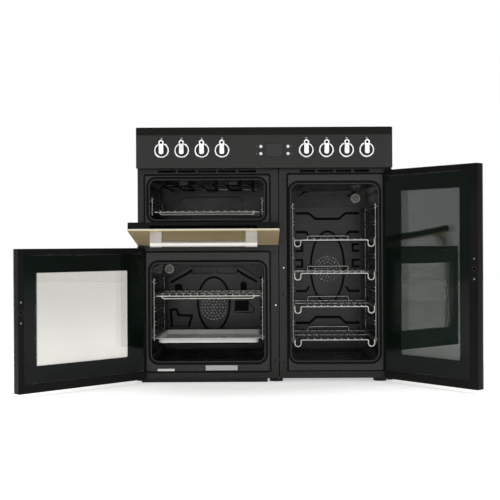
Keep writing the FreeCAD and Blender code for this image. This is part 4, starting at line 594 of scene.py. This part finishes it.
# ---- mesh helpers -----------------------------------------------------------------------------
def piece_from(name, bm, *materials):
    mesh = bpy.data.meshes.new(name)
    bm.to_mesh(mesh)
    bm.free()
    thing = bpy.data.objects.new(name, mesh)
    bpy.context.collection.objects.link(thing)
    for material in materials:
        mesh.materials.append(material)
    return thing


def soften(thing, degrees=35):
    """Smooth shading, with edges sharper than the given angle kept crisp."""
    bm = bmesh.new()
    bm.from_mesh(thing.data)
    limit = math.radians(degrees)
    for face in bm.faces:
        face.smooth = True
    for edge in bm.edges:
        edge.smooth = len(edge.link_faces) == 2 and edge.calc_face_angle(0) < limit
    bm.to_mesh(thing.data)
    bm.free()


def rounded_outline(x0, x1, z0, z1, radius, steps=8):
    """The (x, z) points of an oblong with round corners."""
    points = []
    for cx, cz, start in ((x1 - radius, z0 + radius, -90), (x1 - radius, z1 - radius, 0),
                          (x0 + radius, z1 - radius, 90), (x0 + radius, z0 + radius, 180)):
        for i in range(steps + 1):
            turn = math.radians(start + 90 * i / steps)
            points.append((cx + radius * math.cos(turn), cz + radius * math.sin(turn)))
    return points


def circle_outline(x, z, radius, steps=32):
    turns = [2 * math.pi * i / steps for i in range(steps)]
    return [(x + radius * math.cos(turn), z + radius * math.sin(turn)) for turn in turns]


def ring_in(bm, outer, inner, y0, y1):
    """A flat ring between two outlines with the same number of points, y0 in front of y1."""
    rows = []
    for outline, y in ((outer, y0), (inner, y0), (inner, y1), (outer, y1)):
        rows.append([bm.verts.new((x, y, z)) for x, z in outline])
    count = len(outer)
    faces = []
    for a, b in zip(rows, rows[1:] + rows[:1]):
        for i in range(count):
            j = (i + 1) % count
            faces.append(bm.faces.new((a[i], a[j], b[j], b[i])))
    bmesh.ops.recalc_face_normals(bm, faces=faces)


def ring_plate(name, outer, inner, y0, y1, material):
    bm = bmesh.new()
    ring_in(bm, outer, inner, y0, y1)
    return piece_from(name, bm, material)


def solid_plate(bm, outline, y0, y1, index=0):
    """A flat plate with the given outline, y0 in front of y1."""
    front = [bm.verts.new((x, y0, z)) for x, z in outline]
    back = [bm.verts.new((x, y1, z)) for x, z in outline]
    faces = [bm.faces.new(front), bm.faces.new(back[::-1])]
    for i in range(len(outline)):
        j = (i + 1) % len(outline)
        faces.append(bm.faces.new((front[j], front[i], back[i], back[j])))
    for face in faces:
        face.material_index = index
    bmesh.ops.recalc_face_normals(bm, faces=faces)


def closed_tube(bm, rows, index=0):
    """Joins rings of points one after the other and closes both ends."""
    faces = [bm.faces.new(rows[0]), bm.faces.new(rows[-1][::-1])]
    count = len(rows[0])
    for low, high in zip(rows, rows[1:]):
        for i in range(count):
            j = (i + 1) % count
            faces.append(bm.faces.new((low[i], high[i], high[j], low[j])))
    for face in faces:
        face.material_index = index
    bmesh.ops.recalc_face_normals(bm, faces=faces)


def lathe(bm, profile, centre, steps, index=0):
    """Turns a profile of (radius, along) round a line along Y through centre."""
    centre = Vector(centre)
    rows = []
    for radius, along in profile:
        row = []
        for i in range(steps):
            turn = 2 * math.pi * i / steps
            offset = Vector((radius * math.cos(turn), along, radius * math.sin(turn)))
            row.append(bm.verts.new(centre + offset))
        rows.append(row)
    closed_tube(bm, rows, index)


def hang(thing, door):
    """Turns a piece made on the closed door to where the open door is, and rides it there."""
    spec = DOORS[door]
    pivot = Vector(spec["pivot"])
    turn = Matrix.Rotation(math.radians(spec["open"]), 4, spec["axis"])
    thing.data.transform(Matrix.Translation(pivot) @ turn @ Matrix.Translation(-pivot))
    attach(thing, door)


def inset(door, label):
    """The sides of a door's window or border on the closed door."""
    spec = DOORS[door]
    (x0, x1), (z0, z1) = spec["x"], spec["z"]
    left, right, bottom, top = (m * MM for m in spec[label])
    return x0 + left, x1 - right, z0 + bottom, z1 - top


# ---- doors ------------------------------------------------------------------------------------
def glass_prints(door):
    """The dark print round the pane's window, and the swing doors' bronze film outside."""
    w0, w1, h0, h1 = inset(door, "window")
    corner = 4 * MM
    inner = rounded_outline(w0, w1, h0, h1, corner)
    outer = rounded_outline(*inset(door, "border"), 6 * MM)
    face = DOOR_INNER + 0.03 * MM
    border = ring_plate(door + "_pane_print", outer, inner, face, face + PRINT, BORDER_PRINT)
    hang(border, door)
    if door == "grill_door":
        return
    (x0, x1), (z0, z1) = DOORS[door]["x"], DOORS[door]["z"]
    edge = 0.4 * MM
    outer = rounded_outline(x0 + edge, x1 - edge, z0 + edge, z1 - edge, 3 * MM)
    inner = rounded_outline(w0 - HIDDEN, w1 + HIDDEN, h0 - HIDDEN / 2, h1 + HIDDEN / 2, corner)
    film = GLASS_FACE - SKIN
    layer = ring_plate(door + "_glass_film", outer, inner, film - PRINT, film, BRONZE)
    hang(layer, door)


def latch_screws():
    """Two screws and an open ring bush where each swing door's latch meets its catch."""
    for door, (x, z) in LATCHES.items():
        bm = bmesh.new()
        for rise in (-LATCH_SCREW_RISE, LATCH_SCREW_RISE):
            screw_head(bm, (x, DOOR_INNER, z + rise), 3.2 * MM)
        outer, inner = (circle_outline(x, z, radius) for radius in LATCH_BUSH)
        ring_in(bm, outer, inner, DOOR_INNER + SKIN, DOOR_INNER + 0.9 * MM)
        thing = piece_from(door + "_latch_fittings", bm, BLACK_PLASTIC, ZINC)
        soften(thing)
        hang(thing, door)


def screw_head(bm, place, radius):
    """A low domed head with a round recess, facing the oven, in the piece's second finish."""
    profile = [(1.0, 0.0), (1.0, 0.25), (0.8, 0.5), (0.42, 0.6), (0.3, 0.25)]
    lathe(bm, [(radius * out, radius * along) for out, along in profile], place, 20, 1)


# ---- knobs ------------------------------------------------------------------------------------
def dressed_knobs():
    """The knobs' own shape with three finishes: a black disc, a chromed grip and a dark eye."""
    for i in range(1, 9):
        name = "knob_%d" % i
        low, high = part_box(name)
        eye_x = (low.x + high.x) / 2
        eye_z = CONTROL_LEVEL + EYE_RISE
        bm = bmesh.new()
        bm.from_mesh(nodes[name].data)
        bmesh.ops.remove_doubles(bm, verts=bm.verts, dist=0.01 * MM)
        for face in bm.faces:
            middle = face.calc_center_median()
            from_eye = math.hypot(middle.x - eye_x, middle.z - eye_z)
            if middle.y > PANEL - KNOB_DISC:
                face.material_index = 0
            elif from_eye < EYE_HOLE and middle.y > low.y + 0.2 * MM:
                face.material_index = 2
            else:
                face.material_index = 1
        rim = min(v.co.y for v in bm.verts if math.hypot(v.co.x - eye_x, v.co.z - eye_z) < EYE_HOLE)
        disc = [(EYE_RADIUS, 0.2 * MM), (EYE_RADIUS, -0.25 * MM), (EYE_RADIUS * 0.85, -0.35 * MM)]
        lathe(bm, disc, (eye_x, rim, eye_z), 24, 2)
        thing = piece_from(name + "_dressed", bm, KNOB_BLACK, CHROME, EYE_BLACK)
        soften(thing)
        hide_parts(name)
        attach(thing, name)


# ---- trees for what repeats -------------------------------------------------------------------
UPRIGHT = (math.radians(90), 0, 0)


def new_tree(name, inputs):
    """A Geometry Nodes group that takes points, the given kinds of value and a material."""
    tree = bpy.data.node_groups.new(name, "GeometryNodeTree")
    sockets = tree.interface
    sockets.new_socket(name="Geometry", in_out="INPUT", socket_type="NodeSocketGeometry")
    for label, kind in inputs.items():
        sockets.new_socket(name=label, in_out="INPUT", socket_type="NodeSocket" + kind)
    sockets.new_socket(name="Material", in_out="INPUT", socket_type="NodeSocketMaterial")
    sockets.new_socket(name="Geometry", in_out="OUTPUT", socket_type="NodeSocketGeometry")
    return tree, tree.nodes.new("NodeGroupInput").outputs


def end_tree(tree, given, shape, turn=None):
    """Puts the shape at each point, makes it real and gives it the material."""
    links = {"Points": given["Geometry"], "Instance": shape}
    if turn is not None:
        links["Rotation"] = turn
    placed = node_in(tree, "GeometryNodeInstanceOnPoints", links)
    real = node_in(tree, "GeometryNodeRealizeInstances", {"Geometry": placed.outputs[0]})
    finish = node_in(tree, "GeometryNodeSetMaterial", {"Geometry": real.outputs[0],
                                                       "Material": given["Material"]})
    tree.links.new(finish.outputs[0], tree.nodes.new("NodeGroupOutput").inputs["Geometry"])
    return tree


def made(tree, kind, links, **settings):
    """Adds a node and returns its first result."""
    return node_in(tree, kind, links, **settings).outputs[0]


def tick_rings_tree():
    """A ring of short radial marks, upright in the panel's plane, at each point given."""
    tree, given = new_tree("tick_rings", {"Count": "Int", "Radius": "Float", "Length": "Float",
                                          "Width": "Float", "Thickness": "Float"})
    ring = made(tree, "GeometryNodeMeshCircle", {"Vertices": given["Count"], "Radius": given["Radius"]})
    place = made(tree, "GeometryNodeInputPosition", {})
    turned = made(tree, "FunctionNodeAlignRotationToVector", {"Vector": place}, axis="X")
    size = made(tree, "ShaderNodeCombineXYZ", {0: given["Length"], 1: given["Width"],
                                               2: given["Thickness"]})
    tick = made(tree, "GeometryNodeMeshCube", {"Size": size})
    marks = made(tree, "GeometryNodeInstanceOnPoints", {"Points": ring, "Instance": tick,
                                                        "Rotation": turned})
    upright = made(tree, "GeometryNodeTransform", {"Geometry": marks, "Rotation": UPRIGHT})
    return end_tree(tree, given, upright)


def screw_rows_tree():
    """Low domed screw heads with washers at the points given, facing along Turn."""
    tree, given = new_tree("screw_rows", {"Radius": "Float", "Turn": "Rotation"})
    dome = made(tree, "GeometryNodeMeshUVSphere", {"Segments": 12, "Rings": 7,
                                                   "Radius": given["Radius"]})
    flat = made(tree, "GeometryNodeTransform", {"Geometry": dome, "Scale": (1.0, 1.0, 0.45)})
    wide = calc(tree, "MULTIPLY", given["Radius"], 1.5)
    thin = calc(tree, "MULTIPLY", given["Radius"], 0.3)
    washer = made(tree, "GeometryNodeMeshCylinder", {"Vertices": 16, "Radius": wide, "Depth": thin})
    both = node_in(tree, "GeometryNodeJoinGeometry")
    tree.links.new(flat, both.inputs[0])
    tree.links.new(washer, both.inputs[0])
    return end_tree(tree, given, both.outputs[0], given["Turn"])


def hole_rims_tree():
    """A thin round bead, upright in the cover's plane, at each point given."""
    tree, given = new_tree("hole_rims", {"Radius": "Float", "Bead": "Float"})
    path = made(tree, "GeometryNodeCurvePrimitiveCircle", {"Resolution": 10, "Radius": given["Radius"]})
    bead = made(tree, "GeometryNodeCurvePrimitiveCircle", {"Resolution": 5, "Radius": given["Bead"]})
    rim = made(tree, "GeometryNodeCurveToMesh", {"Curve": path, "Profile Curve": bead})
    upright = made(tree, "GeometryNodeTransform", {"Geometry": rim, "Rotation": UPRIGHT})
    return end_tree(tree, given, upright)


def grown_on_points(name, points, tree, values):
    """Runs a tree on a cloud of points and returns what it makes as a plain mesh piece."""
    bm = bmesh.new()
    for point in points:
        bm.verts.new(point)
    seed = piece_from(name + "_points", bm)
    modifier = seed.modifiers.new("grow", "NODES")
    modifier.node_group = tree
    for socket in tree.interface.items_tree:
        if socket.in_out == "INPUT" and socket.name in values:
            modifier[socket.identifier] = values[socket.name]
    evaluated = seed.evaluated_get(bpy.context.evaluated_depsgraph_get())
    mesh = bpy.data.meshes.new_from_object(evaluated)
    bpy.data.objects.remove(seed)
    mesh.name = name
    thing = bpy.data.objects.new(name, mesh)
    bpy.context.collection.objects.link(thing)
    return thing


# ---- control panel ----------------------------------------------------------------------------
def oblong(bm, x0, x1, z0, z1, radius, steps, y0, y1, index=0):
    """A flat plate with round corners, its sides given in mm and its faces in metres."""
    outline = rounded_outline(x0 * MM, x1 * MM, z0 * MM, z1 * MM, radius * MM, steps)
    solid_plate(bm, outline, y0, y1, index)


def panel_marks():
    """Faint ticks round the eight knobs, a short white bar over each and icons by the buttons."""
    level = CONTROL_LEVEL / MM
    centres = [(x, PANEL - MARK / 2, CONTROL_LEVEL) for x in KNOB_X]
    ticks = grown_on_points("knob_ticks", centres, tick_rings_tree(),
                            {"Count": 24, "Radius": 31.5 * MM, "Length": 1.8 * MM, "Width": 0.5 * MM,
                             "Thickness": MARK, "Material": FAINT_PRINT})
    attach(ticks, "body")
    bm = bmesh.new()
    faces = (PANEL - MARK, PANEL - 0.01 * MM)
    for x in KNOB_X:
        oblong(bm, x / MM - 3.2, x / MM + 3.2, level + 41.5, level + 43.6, 0.4, 2, *faces)
    for x in BUTTON_ICONS:
        for rise in (12.5, -12.5):
            oblong(bm, x - 2.2, x + 2.2, level + rise - 2.2, level + rise + 2.2, 2.0, 3, *faces, 1)
    bars = piece_from("panel_marks", bm, PANEL_PRINT, FAINT_PRINT)
    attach(bars, "body")


# ---- inside the ovens -------------------------------------------------------------------------
def blank_plates():
    """Two blank plates on the sill under the main oven's opening."""
    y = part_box("main_cavity")[0].y
    for name, sides, finish in (("white_plate", (-381.5, -321.5, 38.8, 48.5), PLATE_WHITE),
                                ("grey_plate", (-211.0, -98.0, 42.5, 60.0), PLATE_GREY)):
        bm = bmesh.new()
        oblong(bm, *sides, 1.0, 4, y - 0.35 * MM, y - SKIN)
        thing = piece_from(name, bm, finish)
        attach(thing, "body")


def rod(bm, points, radius, steps):
    """A round bar through the points, with closed ends."""
    rows = []
    for i, point in enumerate(points):
        here = Vector(point)
        ahead = Vector(points[min(i + 1, len(points) - 1)]) - Vector(points[max(i - 1, 0)])
        ahead.normalize()
        side = ahead.cross(Vector((0, 0, 1)) if abs(ahead.z) < 0.9 else Vector((0, 1, 0))).normalized()
        up = side.cross(ahead)
        row = []
        for k in range(steps):
            turn = 2 * math.pi * k / steps
            row.append(bm.verts.new(here + radius * (math.cos(turn) * side + math.sin(turn) * up)))
        rows.append(row)
    closed_tube(bm, rows)


def grill_fittings():
    """The grill's heat probe with its clamps, and the raised line pressed in the back wall."""
    probe_y = GRILL_BACK - 9 * MM
    probe_z = 0.7065
    bm = bmesh.new()
    rod(bm, [(-0.238, probe_y, probe_z), (-0.036, probe_y, probe_z)], 2.4 * MM, 16)
    rod(bm, [(-0.036, probe_y, probe_z), (-0.030, probe_y, probe_z)], 3.4 * MM, 16)
    thing = piece_from("grill_probe", bm, WIRE_CHROME)
    soften(thing)
    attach(thing, "body")
    bm = bmesh.new()
    for x in (-200, -117):
        oblong(bm, x - 5, x + 5, 702, 711.5, 1, 3, GRILL_BACK - 13.5 * MM, GRILL_BACK - 0.2 * MM)
    thing = piece_from("grill_probe_clamps", bm, ELEMENT_STEEL)
    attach(thing, "body")
    bm = bmesh.new()
    line = [(-0.346, 0.6545), (-0.322, 0.6785), (-0.098, 0.6785), (-0.086, 0.6545)]
    rod(bm, [(x, GRILL_BACK - 0.1 * MM, z) for x, z in line], 1.6 * MM, 8)
    thing = piece_from("grill_back_line", bm, OVEN_ENAMEL)
    soften(thing, 60)
    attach(thing, "body")


def frame_round(x, z, half_x, half_z, radius):
    """A round-cornered outline about its middle."""
    return rounded_outline(x - half_x, x + half_x, z - half_z, z + half_z, radius)


def window_gap_shade():
    """Black rings round the front frames' windows, in the seal rope's finish: painted shade of the gap
    between the frames and the ovens' flanges.
    """
    y = FRONT + 0.35 * MM
    edge = 0.3 * MM
    for name, (x0, x1, z0, z1) in WINDOWS.items():
        outer = rounded_outline(x0 + edge, x1 - edge, z0 + edge, z1 - edge, 8.7 * MM)
        inner = rounded_outline(x0 + GAP_SHADE_WIDTH, x1 - GAP_SHADE_WIDTH, z0 + GAP_SHADE_WIDTH, z1 - GAP_SHADE_WIDTH, 5 * MM)
        line = ring_plate(name + "_gap_shade", outer, inner, y, y + 0.6 * MM, SEAL_ROPE)
        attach(line, "body")


def vent_shade_rings():
    """A black ring round each vent slot, painted shade that carries the slots' dark higher, as the
    photograph shows the slots higher.
    """
    for side, (middle, count, pitch, length) in enumerate(VENTS):
        bm = bmesh.new()
        for i in range(count):
            x = (middle + (i - (count - 1) / 2) * pitch) * MM
            half = length / 2 * MM
            outer = frame_round(x, VENT_LEVEL + 0.3 * MM, half + MM, 5.5 * MM, 2 * MM)
            inner = frame_round(x, VENT_LEVEL, half - 0.2 * MM, 2.8 * MM, 2.6 * MM)
            ring_in(bm, outer, inner, FRONT - 0.35 * MM, FRONT - SKIN)
        shade_ring = piece_from("vent_liners_%d" % (side + 1), bm, EYE_BLACK)
        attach(shade_ring, "body")


def clock_line():
    """The dark line round the clock's lens."""
    x, half_x, half_z = CLOCK
    width = 1.6 * MM
    outer = frame_round(x, CONTROL_LEVEL, half_x, half_z, 1.5 * MM)
    inner = frame_round(x, CONTROL_LEVEL, half_x - width, half_z - width, 1 * MM)
    face = PANEL - CLOCK_PROUD
    line = ring_plate("clock_line", outer, inner, face - 0.15 * MM, face - 0.01 * MM, EYE_BLACK)
    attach(line, "body")


def lamp_rings():
    """The steel ring that holds each oven lamp's glass."""
    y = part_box("oven_lamps")[0].y
    bm = bmesh.new()
    for x, z in OVEN_LAMPS:
        outer = circle_outline(x, z, LAMP_RADIUS)
        inner = circle_outline(x, z, LAMP_RADIUS - 3 * MM)
        ring_in(bm, outer, inner, y - 0.8 * MM, y - SKIN)
    rings = piece_from("lamp_rings", bm, RACK_STEEL)
    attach(rings, "body")


def hob_seam():
    """The dark seam between the hob's frame and the control panel."""
    bm = bmesh.new()
    oblong(bm, -448.5, 448.5, 872.2, 874.2, 0.4, 2, PANEL - 0.12 * MM, PANEL - 0.01 * MM)
    thing = piece_from("hob_seam", bm, EYE_BLACK)
    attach(thing, "body")


def band(points, half):
    """The outline of a flat band of even width that follows the points."""
    left, right = [], []
    for i, point in enumerate(points):
        here = Vector(point)
        into = here - Vector(points[max(i - 1, 0)])
        away = Vector(points[min(i + 1, len(points) - 1)]) - here
        into = (into if i else away).normalized()
        away = (away if i < len(points) - 1 else into).normalized()
        across = Vector((-(into + away).y, (into + away).x)).normalized()
        reach = half / max(0.6, across.dot(Vector((-into.y, into.x))))
        left.append(here + reach * across)
        right.append(here - reach * across)
    return [tuple(point) for point in left + right[::-1]]


def egg_outline(x, z, half, up, down, steps=24):
    """Half an ellipse above the widest level and half an ellipse below it."""
    line = []
    for i in range(2 * steps):
        turn = math.pi * i / steps
        rise = math.sin(turn)
        line.append((x + half * math.cos(turn), z + rise * (up if rise > 0 else down)))
    return line


def cover_bead_shade():
    """Dark sheets on the two fan covers: painted shade over the lines, ribs and blocks pressed in them.
    """
    faces = (COVER_FACE - 2.0 * MM, COVER_FACE - 0.03 * MM)
    w = LINE_HALF
    for name, (x, z, half, up, down), ribs, blocks in COVER_BEAD_SHADE:
        bm = bmesh.new()
        outer = egg_outline(x, z, half + w, up + w, down + w)
        inner = egg_outline(x, z, half - w, up - w, down - w)
        ring_in(bm, outer, inner, *faces)
        for rib in ribs:
            solid_plate(bm, band([(a * MM, b * MM) for a, b in rib], w), *faces)
        for sides in blocks:
            oblong(bm, *sides, 3, 4, *faces)
        thing = piece_from(name + "_cover_bead_shade", bm, PAINTED_BEAD_SHADE)
        soften(thing)
        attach(thing, "body")


def hole_rims():
    """A bright pressed rim round every air hole of the two fan covers."""
    y = COVER_FACE - 0.1 * MM
    for name, (x, z) in FANS.items():
        points = [(x, y, z)]
        for ring in range(1, HOLE_RINGS + 1):
            points += [(a, y, b) for a, b in circle_outline(x, z, ring * HOLE_PITCH, 6 * ring)]
        rims = grown_on_points(name + "_hole_rims", points, hole_rims_tree(),
                               {"Radius": HOLE_RADIUS + 0.1 * MM, "Bead": 0.35 * MM, "Material": CHROME})
        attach(rims, "body")


def catch_studs():
    """The bright stud on each door catch of the front frames."""
    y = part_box("door_catches")[0].y
    bm = bmesh.new()
    profile = [(3.4 * MM, 0.4 * MM), (3.4 * MM, -0.8 * MM), (2.6 * MM, -1.6 * MM), (1.2 * MM, -1.9 * MM)]
    for x, z in LATCHES.values():
        lathe(bm, profile, (x, y, z), 24)
    thing = piece_from("catch_studs", bm, CHROME)
    soften(thing)
    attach(thing, "body")


def back_screws():
    """Screws round the edge of the back panel."""
    low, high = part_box("back_panel")
    edge = 25 * MM
    level = [low.z + edge + i * (high.z - low.z - 2 * edge) / 5 for i in range(6)]
    across = [low.x + edge + i * (high.x - low.x - 2 * edge) / 5 for i in range(6)]
    points = [(x, high.y, z) for x in (across[0], across[-1]) for z in level]
    points += [(x, high.y, z) for x in across[1:-1] for z in (level[0], level[-1])]
    thing = grown_on_points("back_screws", points, screw_rows_tree(),
                            {"Radius": 3.0 * MM, "Turn": (math.radians(-90), 0, 0), "Material": ZINC})
    soften(thing)
    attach(thing, "body")


# ---- stage ------------------------------------------------------------------------------------
def make_floor():
    """A white floor that keeps the cooker's shadow near it and fades into the white beyond."""
    bm = bmesh.new()
    bmesh.ops.create_grid(bm, x_segments=1, y_segments=1, size=9.0)
    f = Finish("studio_floor", Roughness=0.9, Specular_IOR_Level=0.0)
    patches = noise(f.tree, f.place, 3.0, 2.0)
    f.colour(f.mix(patches, (0.86, 0.86, 0.86, 1), (0.9, 0.9, 0.9, 1)))
    path = f.add("ShaderNodeLightPath").outputs
    away = f.add("ShaderNodeVectorMath", {0: f.place}, operation="LENGTH").outputs["Value"]
    fade = spread(f.tree, away, *FADE, FLOOR_GLOW, FAR_GLOW)
    seen = calc(f.tree, "MAXIMUM", path["Is Camera Ray"], path["Is Transmission Ray"])
    shown = calc(f.tree, "MAXIMUM", seen, path["Is Glossy Ray"])
    f.skin.inputs["Emission Color"].default_value = WHITE
    f.tree.links.new(calc(f.tree, "MULTIPLY", shown, fade), f.skin.inputs["Emission Strength"])
    floor = piece_from("floor", bm, f.material)


bpy.context.scene.view_settings.view_transform = "Standard"
make_camera()
make_lamps()
make_world()
make_floor()
finish_cad_nodes()
for door in DOORS:
    glass_prints(door)
latch_screws()
dressed_knobs()
panel_marks()
blank_plates()
grill_fittings()
window_gap_shade()
vent_shade_rings()
clock_line()
lamp_rings()
hob_seam()
cover_bead_shade()
hole_rims()
catch_studs()
back_screws()
